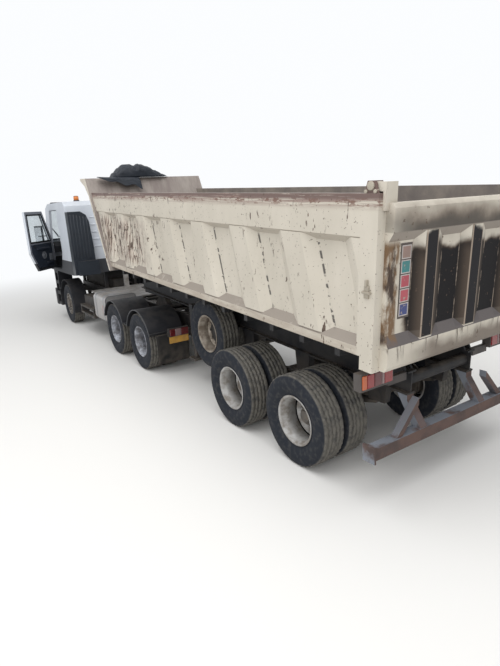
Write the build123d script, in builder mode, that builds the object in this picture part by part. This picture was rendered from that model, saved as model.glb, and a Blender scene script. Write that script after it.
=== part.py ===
from build123d import *
import math
import os

# Articulated tipper lorry: a 6x4 cab-over tractor, hinged at its kingpin to a
# two-axle tipping semi-trailer with a steel bed, a top-hung tailgate and a front hoist.
# Millimetres, +Z up, forward is -Y, the lorry's left side is +X, the ground is z = 0.

os.makedirs("parts", exist_ok=True)

# Frames: "road" stands at the bed's rear face, "bed" at the tipping hinge, nose up
MID_X = -185.0
REAR_Y = 6124.0
BED_TILT = 3.0
HINGE_Y = -300.0
HINGE_Z = 1250.0

# Fits and gaps
RUN_FIT = 0.05
SEAT = 0.3
MOVE_GAP = 6.0

# Wheels
TYRE_R = 525.0
TYRE_W = 300.0
TREAD_W = 250.0
BEAD_R = 300.0
BEAD_W = 224.0
RIM_IN_R = 268.0
DISC_T = 16.0
DUAL_PITCH = 345.0
HUB_R = 110.0
DRUM_R = 200.0
SPINDLE_R = 50.0
TRACK_OUT = 1250.0
STEER_TRACK_OUT = 1190.0
HAND_HOLES = 8
HAND_HOLE_R = 26.0

# Axle places, rearward from the bed's rear face
TRAILER_AXLES = (-1140.0, -2480.0)
DRIVE_AXLES = (-5700.0, -7070.0)
STEER_AXLE = -11070.0
BOGIE_Y = (DRIVE_AXLES[0] + DRIVE_AXLES[1]) / 2

# Tractor frame
RAIL_OUT = 425.0
RAIL_WEB = 10.0
RAIL_FLANGE = 80.0
RAIL_LOW = 700.0
RAIL_TOP = 970.0
FRAME_REAR = -4950.0
FRAME_FRONT = -12250.0
CROSS_R = 35.0

# Kingpin and fifth wheel
KINGPIN_Y = -6450.0
KINGPIN_R = 25.4
SKID_HALF = 480.0
SKID_T = 15.0
FIFTH_W = 920.0

# Cab
CAB_HALF = 1225.0
CAB_WALL = 60.0
CAB_REAR = -9900.0
CAB_FRONT = -12450.0
CAB_LOW = 1400.0
CAB_TOP = 3200.0
WINDSCREEN_LOW = 2180.0
FLOOR_T = 50.0
TILT_Y = -12150.0
TILT_Z = 1130.0
DOOR_OPEN = 42.0
DOOR_FRONT = -11900.0
DOOR_REAR = -10760.0
DOOR_LOW = 1480.0
DOOR_HIGH = 3020.0
DOOR_T = 60.0
DOOR_HINGE_OUT = 18.0
SILL_Z = 2200.0
PANE_T = 8.0

# Trailer frame, in the bed's own frame
TRAIL_RAIL_X = 490.0
TRAIL_RAIL_W = 120.0
TRAIL_RAIL_TOP = -60.0
TRAIL_RAIL_H = 250.0
TRAIL_WEB = 16.0
TRAIL_FRONT = -6800.0
TRAIL_REAR = 150.0

# Bed, in its own frame
BED_REAR = 300.0
BED_HALF = 1240.0
BED_SKIN = 35.0
SIDE_T = 110.0
SIDE_LOW = 265.0
SIDE_TOP = 1655.0
LEDGE_Z = (345.0, 430.0)
BAND_Z = (1240.0, 1305.0)
BED_FRONT_LOW = -6480.0
BED_FRONT_TOP = -7240.0
FLOOR_LOW = 250.0
FLOOR_THICK = 30.0
HEAD_T = 70.0
HEAD_LOW = 190.0
HEAD_TOP = 1930.0
HEAD_LIP = -7740.0
HEAD_OUT = 50.0
POST_W = 150.0
POST_LOW = 140.0
BAYS = 7
BAY_PITCH = 990.0
BAY_LEAN = 0.31
RIB_W = 300.0
RIB_FLANK = 170.0
RIB_HEAD = 180.0
HINGE_R = 30.0

# Tailgate
GATE_HALF = 1150.0
GATE_SKIN = 40.0
GATE_TOP = 1580.0
GATE_RIBS = 3
GATE_PITCH = 650.0
GATE_RIB_D = 90.0
GATE_RIB_W = 140.0
GATE_FLANK = 130.0
GATE_PIN_Y = 200.0
GATE_PIN_Z = 1712.0
GATE_PIN_R = 22.0
ARM_X = (1165.0, 1195.0)

# Hoist, places in the road frame
HOIST_BASE = (-7120.0, 1500.0)
HOIST_EYE = (-7640.0, 2990.0)
BARREL_R = 105.0
STAGE_STEP = 14.0
STAGES = 4

BACK = math.radians(BED_TILT)
road = Plane(origin=(MID_X, REAR_Y, 0))
bed = Plane(
    origin=(MID_X, REAR_Y + HINGE_Y, HINGE_Z),
    x_dir=(1, 0, 0),
    z_dir=(0, math.sin(BACK), math.cos(BACK)),
)


def side(frame, x):
    """Plane that faces left at x: sketch x runs rearward, sketch y up."""
    return Plane(frame.from_local_coords((x, 0, 0)), x_dir=frame.y_dir, z_dir=frame.x_dir)


def cross(frame, y):
    """Plane that faces forward at y: sketch x runs to the left, sketch y up."""
    return Plane(frame.from_local_coords((0, y, 0)), x_dir=frame.x_dir, z_dir=-frame.y_dir)


def level(frame, z):
    """Plane that faces up at z: sketch x runs to the left, sketch y rearward."""
    return Plane(frame.from_local_coords((0, 0, z)), x_dir=frame.x_dir, z_dir=frame.z_dir)


def block(x, y, z, mode=Mode.ADD):
    """Adds or cuts a box that spans the pairs x, y and z of the part's own frame."""
    with Locations(((x[0] + x[1]) / 2, (y[0] + y[1]) / 2, (z[0] + z[1]) / 2)):
        Box(x[1] - x[0], y[1] - y[0], z[1] - z[0], mode=mode)


def both(x, y, z, mode=Mode.ADD):
    """Adds or cuts a box on each side of the middle plane."""
    block(x, y, z, mode)
    block((-x[1], -x[0]), y, z, mode)


def tube_x(x, y, z, radius, mode=Mode.ADD):
    """Adds or cuts a round bar that runs from x[0] to x[1]."""
    with Locations(Location(((x[0] + x[1]) / 2, y, z), (0, 90, 0))):
        Cylinder(radius, x[1] - x[0], mode=mode)


def panel(frame, x, points, mode=Mode.ADD):
    """Adds or cuts a plate between x[0] and x[1], its outline as (y, z) points."""
    with BuildSketch(side(frame, x[0])) as outline:
        Polygon(*points, align=None)
    extrude(outline.sketch, amount=x[1] - x[0], mode=mode)


def bulkhead(frame, y, points, mode=Mode.ADD):
    """Adds or cuts a plate from y[0] rearward to y[1], its outline as (x, z) points."""
    with BuildSketch(cross(frame, y[1])) as outline:
        Polygon(*points, align=None)
    extrude(outline.sketch, amount=y[1] - y[0], mode=mode)


def save(name, part):
    part.part.label = name
    export_step(part.part, f"parts/{name}.step")


def rail_low_z(y):
    """Height above ground of the trailer rails' underside at y of the road frame."""
    ahead = HINGE_Y - y
    low = TRAIL_RAIL_TOP - TRAIL_RAIL_H
    return HINGE_Z + low / math.cos(BACK) + ahead * math.tan(BACK)


COUPLER_Z = rail_low_z(KINGPIN_Y + SKID_HALF) - SKID_T

def front_line(z):
    """y of the bed's sloping front edge at height z."""
    share = (z - SIDE_LOW) / (SIDE_TOP - SIDE_LOW)
    return BED_FRONT_LOW + (BED_FRONT_TOP - BED_FRONT_LOW) * share


# Wheels: tyre, rim and hub of each in one piece, bored for the spindle

def tyre_section(centre):
    """Half section of a tyre on its rim, as (x, radius) points about x = centre."""
    half = ((BEAD_W / 2, RIM_IN_R), (BEAD_W / 2, BEAD_R), (TYRE_W / 2, 0.8 * TYRE_R),
            (TYRE_W / 2 - 5, TYRE_R - 28), (TREAD_W / 2, TYRE_R))
    left = [(centre - a, r) for a, r in half]
    right = [(centre + a, r) for a, r in reversed(half)]
    return left + right


def wheel_plane(y, hand):
    """Plane through an axle with sketch x outward on the given side and sketch y up."""
    out = (hand, 0, 0)
    origin = road.from_local_coords((0, y, TYRE_R))
    return Plane(origin, x_dir=out, z_dir=(0, -hand, 0))


def spin(plane):
    revolve(axis=Axis(plane.origin, plane.x_dir))


def hand_holes(plane, x, depth):
    """Cuts the ring of round holes through a wheel's disc."""
    face = Plane(plane.from_local_coords((x, 0, 0)), x_dir=(0, 1, 0), z_dir=plane.x_dir)
    with BuildSketch(face) as ring:
        with PolarLocations((HUB_R + DRUM_R) / 2 + 5, HAND_HOLES):
            Circle(HAND_HOLE_R)
    extrude(ring.sketch, amount=depth, mode=Mode.SUBTRACT)


OUTER_X = TRACK_OUT - TYRE_W / 2
INNER_X = OUTER_X - DUAL_PITCH
DUAL_MID = (OUTER_X + INNER_X) / 2
HUB_IN = INNER_X - BEAD_W / 2
HUB_OUT = OUTER_X - 20
BORE_END = HUB_OUT - 15


def dual_wheel(y, hand):
    """Twin wheels on one hub, with their discs bolted back to back."""
    plane = wheel_plane(y, hand)
    rim_edge = OUTER_X - BEAD_W / 2
    with BuildPart() as wheel:
        with BuildSketch(plane):
            for centre in (INNER_X, OUTER_X):
                Polygon(*tyre_section(centre), align=None)
            for way in (1, -1):
                reach = way * (rim_edge - DUAL_MID)
                Polygon(
                    (DUAL_MID, HUB_R - 10), (DUAL_MID, DRUM_R + 10),
                    (DUAL_MID + reach, RIM_IN_R + 4), (DUAL_MID + reach + way * 20, RIM_IN_R + 4),
                    (DUAL_MID + way * DISC_T, DRUM_R), (DUAL_MID + way * DISC_T, HUB_R - 10),
                    align=None,
                )
            Polygon(
                (HUB_IN, SPINDLE_R + RUN_FIT), (HUB_IN, DRUM_R), (DUAL_MID - 30, DRUM_R),
                (DUAL_MID - 30, HUB_R), (HUB_OUT - 35, HUB_R), (HUB_OUT, HUB_R - 40), (HUB_OUT, 0),
                (BORE_END, 0), (BORE_END, SPINDLE_R + RUN_FIT),
                align=None,
            )
        spin(plane)
        hand_holes(plane, DUAL_MID - DISC_T - 2, 2 * DISC_T + 4)
    return wheel


STEER_X = STEER_TRACK_OUT - TYRE_W / 2
STEER_DISC = STEER_X + 105
STEER_DRUM_IN = STEER_X - 140
STEER_BORE_END = STEER_DISC + 20


def steer_wheel(hand):
    """Single front wheel, its disc bulging outward."""
    plane = wheel_plane(STEER_AXLE, hand)
    with BuildPart() as wheel:
        with BuildSketch(plane):
            Polygon(*tyre_section(STEER_X), align=None)
            Polygon(
                (STEER_DISC, HUB_R - 10), (STEER_DISC, DRUM_R), (STEER_DISC - 50, RIM_IN_R + 4),
                (STEER_DISC - 28, RIM_IN_R + 4), (STEER_DISC + DISC_T, DRUM_R),
                (STEER_DISC + DISC_T, HUB_R - 10),
                align=None,
            )
            Polygon(
                (STEER_DRUM_IN, SPINDLE_R + RUN_FIT), (STEER_DRUM_IN, DRUM_R),
                (STEER_DISC - 60, DRUM_R), (STEER_DISC - 60, HUB_R), (STEER_DISC + 40, HUB_R),
                (STEER_DISC + 55, HUB_R - 30), (STEER_DISC + 55, 0), (STEER_BORE_END, 0),
                (STEER_BORE_END, SPINDLE_R + RUN_FIT),
                align=None,
            )
        spin(plane)
        hand_holes(plane, STEER_DISC - 2, DISC_T + 4)
    return wheel


for hand, word in ((1, "left"), (-1, "right")):
    save(f"steer_wheel_{word}", steer_wheel(hand))
    for label, axles in (("drive", DRIVE_AXLES), ("trailer", TRAILER_AXLES)):
        for end, y in zip(("rear", "front"), axles):
            save(f"{label}_wheel_{end}_{word}", dual_wheel(y, hand))

# Spare wheel: upright on the left of the trailer's frame, its dish outward
SPARE_Y = -3620.0
SPARE_Z = 998.0
SPARE_X = 788.0
SPARE_DISC = SPARE_X - 70
SPARE_HOLE_R = 140.0

spare_plane = Plane(road.from_local_coords((0, SPARE_Y, SPARE_Z)), x_dir=(1, 0, 0), z_dir=(0, -1, 0))
with BuildPart() as spare_wheel:
    with BuildSketch(spare_plane):
        Polygon(*tyre_section(SPARE_X), align=None)
        Polygon(
            (SPARE_DISC, SPARE_HOLE_R), (SPARE_DISC, DRUM_R + 10), (SPARE_DISC + 60, RIM_IN_R + 4),
            (SPARE_DISC + 80, RIM_IN_R + 4), (SPARE_DISC + DISC_T, DRUM_R),
            (SPARE_DISC + DISC_T, SPARE_HOLE_R),
            align=None,
        )
    spin(spare_plane)
save("spare_wheel", spare_wheel)

# Axles: beams under the springs, with a spindle in each hub
AXLE_R = 75.0
PACK_W = 90.0
PLATE_IN = HUB_IN - MOVE_GAP


def dual_axle(y, casing):
    """Axle tube with brake plates, spindles and, on a drive axle, its gear casing."""
    for way in (1, -1):
        tube_x(sorted((0, way * (PLATE_IN - 10))), y, TYRE_R, AXLE_R)
        tube_x(sorted((way * (PLATE_IN - 14), way * PLATE_IN)), y, TYRE_R, DRUM_R - 5)
        tube_x(sorted((way * (PLATE_IN - 12), way * (BORE_END - 5))), y, TYRE_R, SPINDLE_R)
    if casing:
        with Locations(Location((0, y, TYRE_R), (90, 0, 0))):
            Cylinder(175, 300)


SPRING_ARCH = 70.0
with BuildPart(road) as drive_axles:
    for y in DRIVE_AXLES:
        dual_axle(y, True)
    for x in (RAIL_OUT - RAIL_FLANGE - 5, -RAIL_OUT - 5):
        ends = (DRIVE_AXLES[1] - 90, DRIVE_AXLES[0] + 90)
        seat_z = TYRE_R + AXLE_R - 5
        panel(road, (x, x + PACK_W), (
            (ends[0], seat_z), (ends[0], seat_z + 35), (BOGIE_Y - 150, RAIL_LOW - SEAT),
            (BOGIE_Y + 150, RAIL_LOW - SEAT), (ends[1], seat_z + 35), (ends[1], seat_z),
            (BOGIE_Y + 120, RAIL_LOW - 2 * SPRING_ARCH), (BOGIE_Y - 120, RAIL_LOW - 2 * SPRING_ARCH),
        ))
save("drive_axles", drive_axles)

# Trailer springs hang from three brackets a side, welded below the rails
SPRING_T = 90.0
SPRING_X = (TRAIL_RAIL_X - PACK_W / 2, TRAIL_RAIL_X + PACK_W / 2)
SPRING_HALF = 560.0
with BuildPart(road) as trailer_axles:
    for y in TRAILER_AXLES:
        dual_axle(y, False)
        low = TYRE_R + AXLE_R - 5
        for way in (1, -1):
            x = SPRING_X if way > 0 else (-SPRING_X[1], -SPRING_X[0])
            panel(road, x, (
                (y - SPRING_HALF, low + 125), (y - SPRING_HALF, low + 150), (y, low + SPRING_T),
                (y + SPRING_HALF, low + 150), (y + SPRING_HALF, low + 125), (y + 90, low),
                (y - 90, low),
            ))
save("trailer_axles", trailer_axles)

# Steered axle: forged beam between kingpins, on two long leaf springs
PIN_X = 790.0
PIN_R = 24.0
EYE_H = 110.0
BEAM_LOW = 400.0
BEAM_T = 100.0
with BuildPart(road) as front_axle:
    bulkhead(road, (STEER_AXLE - BEAM_T / 2, STEER_AXLE + BEAM_T / 2), (
        (-PIN_X, TYRE_R - 50), (-PIN_X, TYRE_R + 50), (-PIN_X + 90, TYRE_R + 40), (-520, BEAM_LOW + 100),
        (520, BEAM_LOW + 100), (PIN_X - 90, TYRE_R + 40), (PIN_X, TYRE_R + 50), (PIN_X, TYRE_R - 50),
        (PIN_X - 110, TYRE_R - 50), (480, BEAM_LOW), (-480, BEAM_LOW), (-PIN_X + 110, TYRE_R - 50),
    ))
    with Locations((-PIN_X, STEER_AXLE, TYRE_R), (PIN_X, STEER_AXLE, TYRE_R)):
        Cylinder(45, EYE_H)
        Cylinder(PIN_R, EYE_H + 110)
    for x in (RAIL_OUT - RAIL_FLANGE, -RAIL_OUT):
        low = BEAM_LOW + 95
        panel(road, (x, x + RAIL_FLANGE), (
            (STEER_AXLE - 800, RAIL_LOW - 40), (STEER_AXLE - 800, RAIL_LOW - SEAT),
            (STEER_AXLE - 740, RAIL_LOW - SEAT), (STEER_AXLE - 700, low + 130), (STEER_AXLE, low + 75),
            (STEER_AXLE + 700, low + 130), (STEER_AXLE + 740, RAIL_LOW - SEAT),
            (STEER_AXLE + 800, RAIL_LOW - SEAT), (STEER_AXLE + 800, RAIL_LOW - 40),
            (STEER_AXLE + 740, low + 90), (STEER_AXLE + 70, low), (STEER_AXLE - 70, low),
            (STEER_AXLE - 740, low + 90),
        ))
save("front_axle", front_axle)


def knuckle(hand):
    """Forked steering knuckle round the beam's eye, with the wheel's spindle and an arm."""
    pin = hand * PIN_X
    inner = hand * (STEER_DRUM_IN - MOVE_GAP)
    with BuildPart(road) as part:
        for z in (TYRE_R + EYE_H / 2 + 24, TYRE_R - EYE_H / 2 - 24):
            with Locations((pin, STEER_AXLE, z)):
                Cylinder(44, 44)
            block(sorted((pin, inner)), (STEER_AXLE - 38, STEER_AXLE + 38), (z - 22, z + 22))
        tube_x(sorted((hand * (PIN_X + 56), inner)), STEER_AXLE, TYRE_R, DRUM_R - 60)
        tube_x(sorted((hand * (PIN_X + 60), hand * (STEER_BORE_END - 5))), STEER_AXLE, TYRE_R, SPINDLE_R)
        with Locations((pin, STEER_AXLE, TYRE_R)):
            Cylinder(PIN_R + RUN_FIT, EYE_H + 120, mode=Mode.SUBTRACT)
            Cylinder(52, EYE_H + 4, mode=Mode.SUBTRACT)
    return part


for hand, word in ((1, "left"), (-1, "right")):
    save(f"knuckle_{word}", knuckle(hand))

# Tractor frame: two channel rails with round cross members and the cab's four posts
RAIL_MID = (RAIL_LOW + RAIL_TOP) / 2
HIGH_CROSS = RAIL_TOP - 70
LOW_CROSS = RAIL_LOW + 38
CROSS_PLACES = (
    (FRAME_REAR - 250, RAIL_MID), (BOGIE_Y + 330, RAIL_MID), (BOGIE_Y - 330, RAIL_MID), (-7800.0, HIGH_CROSS),
    (-8850.0, HIGH_CROSS), (-9900.0, LOW_CROSS), (-11200.0, LOW_CROSS), (-12180.0, RAIL_MID),
)
POST_X = 385.0
CAB_POST_Y = -10060.0
LUG_T = 30.0
PIVOT_R = 20.0
with BuildPart(road) as tractor_frame:
    for hand in (1, -1):
        web = hand * RAIL_OUT
        inside = hand * (RAIL_OUT - RAIL_WEB)
        lip = hand * (RAIL_OUT - RAIL_FLANGE)
        bulkhead(road, (FRAME_FRONT, FRAME_REAR), (
            (web, RAIL_LOW), (web, RAIL_TOP), (lip, RAIL_TOP), (lip, RAIL_TOP - RAIL_WEB),
            (inside, RAIL_TOP - RAIL_WEB), (inside, RAIL_LOW + RAIL_WEB), (lip, RAIL_LOW + RAIL_WEB),
            (lip, RAIL_LOW),
        ))
        for y, top in ((TILT_Y, TILT_Z + 35), (CAB_POST_Y, CAB_LOW - SEAT)):
            block(sorted((hand * (POST_X - 35), hand * (POST_X + 35))), (y - 50, y + 50), (RAIL_TOP - 5, top))
        tube_x(sorted((hand * (POST_X - 50), hand * (POST_X + 50))), TILT_Y, TILT_Z,
               PIVOT_R + RUN_FIT, Mode.SUBTRACT)
    for y, z in CROSS_PLACES:
        tube_x((-RAIL_OUT + 5, RAIL_OUT - 5), y, z, CROSS_R)
save("tractor_frame", tractor_frame)

# Fifth wheel: slotted top plate on two pedestals
PLATE_T = 45.0
THROAT_R = KINGPIN_R + RUN_FIT
with BuildPart(road) as fifth_wheel:
    with BuildSketch(level(road, COUPLER_Z - PLATE_T)):
        with Locations((0, KINGPIN_Y)):
            Circle(FIFTH_W / 2)
            Polygon((-THROAT_R, 0), (THROAT_R, 0), (150, FIFTH_W), (-150, FIFTH_W), align=None, mode=Mode.SUBTRACT)
            Circle(THROAT_R, mode=Mode.SUBTRACT)
    extrude(amount=PLATE_T)
    for hand in (1, -1):
        panel(road, sorted((hand * 300, hand * 400)), (
            (KINGPIN_Y - 330, RAIL_TOP + SEAT), (KINGPIN_Y - 120, COUPLER_Z - PLATE_T + 5),
            (KINGPIN_Y + 120, COUPLER_Z - PLATE_T + 5), (KINGPIN_Y + 330, RAIL_TOP + SEAT),
        ))
    block((-400, 400), (KINGPIN_Y - 330, KINGPIN_Y + 330), (RAIL_TOP + SEAT, RAIL_TOP + 25))
save("fifth_wheel", fifth_wheel)

# Engine and gearbox as one block, with the shaft to the first drive axle
ENGINE_Y = (-12020.0, -10450.0)
SHAFT_R = 50.0
with BuildPart(road) as engine_block:
    block((-330, 330), ENGINE_Y, (780, 1330))
    block((-200, 200), (ENGINE_Y[1] - 5, ENGINE_Y[1] + 420), (780, 1150))
    tube_start = (ENGINE_Y[1] + 410, 850.0)
    tube_end = (DRIVE_AXLES[1] - 150 - SEAT, TYRE_R + 40)
    run = math.hypot(tube_end[0] - tube_start[0], tube_end[1] - tube_start[1])
    slope = math.degrees(math.atan2(tube_end[1] - tube_start[1], tube_end[0] - tube_start[0]))
    middle = (0, (tube_start[0] + tube_end[0]) / 2, (tube_start[1] + tube_end[1]) / 2)
    with Locations(Location(middle, (slope - 90, 0, 0))):
        Cylinder(SHAFT_R, run - 2 * SHAFT_R * abs(math.tan(math.radians(slope))))
save("engine_block", engine_block)

# Bumper shell, with the entry steps and front arches behind it
BUMPER_LOW = 380.0
BUMPER_TOP = 840.0
BUMPER_T = 70.0
STEP_Y = (-12140.0, -11760.0)
ARCH_R = 660.0
ARCH_T = 14.0
with BuildPart(road) as front_bumper:
    with BuildSketch(level(road, BUMPER_LOW)):
        outer = ((-1225, -12140), (-1225, -12330), (-1080, -12470), (1080, -12470), (1225, -12330), (1225, -12140))
        inner = ((-1155, -12120), (-1155, -12300), (-1050, -12400), (1050, -12400), (1155, -12300), (1155, -12120))
        Polygon(*outer, align=None)
        Polygon(*inner, align=None, mode=Mode.SUBTRACT)
    extrude(amount=BUMPER_TOP - BUMPER_LOW)
    block((-360, 360), (-12480, -12380), (BUMPER_LOW + 140, BUMPER_LOW + 250), Mode.SUBTRACT)
    both((600, 1000), (-12480, -12430), (BUMPER_LOW + 190, BUMPER_LOW + 370), Mode.SUBTRACT)
    both((350, 430), (-12405, FRAME_FRONT - SEAT), (RAIL_LOW, BUMPER_TOP - 20))
save("front_bumper", front_bumper)

with BuildPart(road) as steps_and_arches:
    for hand in (1, -1):
        x = sorted((hand * 830, hand * 1215))
        panel(road, x, ((STEP_Y[0], 400), (STEP_Y[0], CAB_LOW - 8), (STEP_Y[1] + 60, CAB_LOW - 8),
                        (STEP_Y[1], 1080), (STEP_Y[1], 400)))
        for low in (480, 790, 1100):
            block(sorted((hand * 960, hand * 1230)), (STEP_Y[0] + 40, STEP_Y[1] - 40), (low, low + 220), Mode.SUBTRACT)
        with BuildSketch(side(road, x[0])):
            with Locations((STEER_AXLE, TYRE_R)):
                Circle(ARCH_R + ARCH_T)
                Circle(ARCH_R, mode=Mode.SUBTRACT)
                Polygon((-900, -900), (900, -900), (900, -160), (0, -160), (-660, 460), (-900, 460),
                        align=None, mode=Mode.SUBTRACT)
        extrude(amount=x[1] - x[0])
        carry = sorted((hand * (RAIL_OUT + SEAT), hand * 840))
        tube_x(carry, STEP_Y[0] + 60, 850, 26)
        tube_x(sorted((carry[0], carry[1] + hand * 40) if hand > 0 else (carry[0] - 40, carry[1])),
               STEER_AXLE + ARCH_R - 20, TYRE_R + 250, 26)
        block(x, (STEP_Y[1] - 5, STEER_AXLE - 545), (TYRE_R + 366, TYRE_R + 380))
save("steps_and_arches", steps_and_arches)

# Tanks and boxes on the rails' outer sides
TANK_Y = (-8620.0, -7780.0)
RIGHT_TANK_Y = (-9500.0, -7780.0)
BOX_Y = (-9900.0, -8760.0)
TANK_X = (RAIL_OUT + 20, 1170.0)
TANK_Z = (500.0, 1110.0)


def tank(x, y, z, corner):
    """A tank with round long edges, seated on the frame's side."""
    with BuildSketch(cross(road, y[1])) as outline:
        with Locations(((x[0] + x[1]) / 2, (z[0] + z[1]) / 2)):
            RectangleRounded(x[1] - x[0], z[1] - z[0], corner)
    extrude(outline.sketch, amount=y[1] - y[0])


with BuildPart(road) as side_tanks:
    for hand, y in ((1, TANK_Y), (-1, RIGHT_TANK_Y)):
        x = sorted((hand * TANK_X[0], hand * TANK_X[1]))
        tank(x, y, TANK_Z, 110)
        for at in (y[0] + 150, y[1] - 150):
            block(sorted((hand * (RAIL_OUT + SEAT), hand * (TANK_X[0] + 5))), (at - 40, at + 40), (720, 950))
save("side_tanks", side_tanks)

with BuildPart(road) as battery_box:
    block((TANK_X[0], 1040), BOX_Y, (560, 900))
    block((RAIL_OUT + SEAT, TANK_X[0] + 5), (BOX_Y[0] + 150, BOX_Y[1] - 150), (740, 880))
    for z in (470, 640):
        block((1040 - 5, 1170), BOX_Y, (z, z + 40))
    for y in (BOX_Y[0] + 20, BOX_Y[1] - 60):
        block((1130, 1170), (y, y + 40), (470, 680))
        block((980, 1140), (y, y + 40), (470, 510))
        block((980, 1020), (y, y + 40), (470, 570))
save("battery_box", battery_box)

# Half-round fenders over each twin wheel, on bars out of the frame
FENDER_R = 590.0
FENDER_T = 12.0
FENDER_X = (TRACK_OUT - 2 * TYRE_W - 55, TRACK_OUT + 8)
FENDER_END = 0.34
with BuildPart(road) as drive_fenders:
    for hand in (1, -1):
        x = sorted((hand * FENDER_X[0], hand * FENDER_X[1]))
        for y in DRIVE_AXLES:
            cut = FENDER_R * FENDER_END
            with BuildSketch(side(road, x[0])):
                with Locations((y, TYRE_R)):
                    Circle(FENDER_R + FENDER_T)
                    Circle(FENDER_R, mode=Mode.SUBTRACT)
                    Polygon((-900, -900), (900, -900), (900, cut), (-900, cut), align=None, mode=Mode.SUBTRACT)
            extrude(amount=x[1] - x[0])
        reach = math.sqrt(1 - FENDER_END ** 2) * FENDER_R
        bar_z = TYRE_R + FENDER_R * FENDER_END + 26
        for y in (DRIVE_AXLES[0] + reach + 12, BOGIE_Y, DRIVE_AXLES[1] - reach - 12):
            tube_x(sorted((hand * (RAIL_OUT + SEAT), hand * FENDER_X[1])), y, bar_z, 24)
        block(x, (DRIVE_AXLES[1] + reach - 8, DRIVE_AXLES[0] - reach + 8), (bar_z - 6, bar_z + 6))
save("drive_fenders", drive_fenders)

# Catwalk plate behind the cab, with the stand that holds the air lines
with BuildPart(road) as catwalk:
    block((-430, 430), (-9700, -7850), (RAIL_TOP + SEAT, RAIL_TOP + 28))
    block((430 - 5, 900), (-9700, -8700), (RAIL_TOP + 4, RAIL_TOP + 28))
    block((-60, 60), (-9640, -9580), (RAIL_TOP + 20, 1900))
    block((-350, 350), (-9660, -9560), (1500, 1760))
save("catwalk", catwalk)

# Tail bar of the tractor: lamp clusters and the plate under the left one
with BuildPart(road) as rear_lamp_bar:
    block((-1000, 1000), (FRAME_REAR + SEAT, FRAME_REAR + 60), (720, 800))
    both((640, 1010), (FRAME_REAR + 55, FRAME_REAR + 130), (730, 870))
    block((620, 1000), (FRAME_REAR + 55, FRAME_REAR + 67), (590, 725))
save("rear_lamp_bar", rear_lamp_bar)

# Cab shell: floor, walls and roof welded as one, cut for doors and windscreen
ROOF_EDGE = 3090.0
CAB_PROFILE = (
    (CAB_REAR, CAB_LOW), (CAB_REAR, ROOF_EDGE), (CAB_REAR - 110, CAB_TOP), (-11650, CAB_TOP),
    (-11980, ROOF_EDGE), (CAB_FRONT + 60, WINDSCREEN_LOW), (CAB_FRONT, WINDSCREEN_LOW - 60),
    (CAB_FRONT, CAB_LOW),
)
CAB_INSIDE = (
    (CAB_REAR - CAB_WALL, CAB_LOW + FLOOR_T), (CAB_REAR - CAB_WALL, ROOF_EDGE - 25),
    (CAB_REAR - 135, CAB_TOP - CAB_WALL), (-11630, CAB_TOP - CAB_WALL), (-11925, ROOF_EDGE - 20),
    (CAB_FRONT + 120, WINDSCREEN_LOW - 15), (CAB_FRONT + CAB_WALL, WINDSCREEN_LOW - 90),
    (CAB_FRONT + CAB_WALL, CAB_LOW + FLOOR_T),
)
DOOR_OUTLINE = (
    (DOOR_FRONT, DOOR_LOW), (DOOR_FRONT, SILL_Z), (-11560, DOOR_HIGH), (DOOR_REAR, DOOR_HIGH),
    (DOOR_REAR, 1960.0), (-11040, DOOR_LOW),
)
screen_low = Vector(0, CAB_FRONT + 60, WINDSCREEN_LOW)
screen_high = Vector(0, -11980, ROOF_EDGE)
screen_mid = (screen_low + screen_high) / 2
screen_up = (screen_high - screen_low).normalized()
SCREEN_H = (screen_high - screen_low).length - 90
SCREEN_W = 2 * CAB_HALF - 200
screen_plane = Plane(road.from_local_coords(screen_mid), x_dir=(1, 0, 0), z_dir=Vector(1, 0, 0).cross(screen_up))


with BuildPart() as cab_shell:
    panel(road, (-CAB_HALF, CAB_HALF), CAB_PROFILE)
    panel(road, (CAB_WALL - CAB_HALF, CAB_HALF - CAB_WALL), CAB_INSIDE, Mode.SUBTRACT)
    with BuildSketch(side(road, -CAB_HALF - 10)):
        Polygon(*DOOR_OUTLINE, align=None)
        offset(amount=MOVE_GAP, kind=Kind.INTERSECTION)
    extrude(amount=2 * CAB_HALF + 20, mode=Mode.SUBTRACT)
    with BuildSketch(screen_plane.offset(-90)):
        RectangleRounded(SCREEN_W, SCREEN_H, 60)
    extrude(amount=180, mode=Mode.SUBTRACT)
    for hand in (1, -1):
        lug = sorted((hand * (POST_X - 35 - MOVE_GAP), hand * (POST_X - 35 - MOVE_GAP - LUG_T)))
        panel(road, lug, ((TILT_Y - 60, CAB_LOW + 5), (TILT_Y + 60, CAB_LOW + 5),
                          (TILT_Y + 40, TILT_Z - 35), (TILT_Y - 40, TILT_Z - 35)))
        with BuildSketch(side(road, min(lug[0], hand * (POST_X + 45)))):
            with Locations((TILT_Y, TILT_Z)):
                Circle(PIVOT_R)
        extrude(amount=abs(hand * (POST_X + 45) - (lug[0] if hand > 0 else lug[1])))
        with Locations(road.location * Location((hand * (CAB_HALF + DOOR_HINGE_OUT), DOOR_FRONT, 0))):
            for z in (DOOR_LOW + 180, SILL_Z - 180):
                with Locations((0, 0, z)):
                    Cylinder(8, 110)
                for way in (1, -1):
                    with Locations((-hand * 1, -14, z + way * 48)):
                        Box(2 * DOOR_HINGE_OUT - 6, 44, 16)
                    with Locations((-hand * (DOOR_HINGE_OUT + 8), -22, z + way * 48)):
                        Box(24, 28, 16)
save("cab_shell", cab_shell)

with BuildPart() as windscreen:
    with BuildSketch(screen_plane.offset(-20)):
        RectangleRounded(SCREEN_W - 2 * SEAT, SCREEN_H - 2 * SEAT, 60)
    extrude(amount=PANE_T)
save("windscreen", windscreen)

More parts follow.
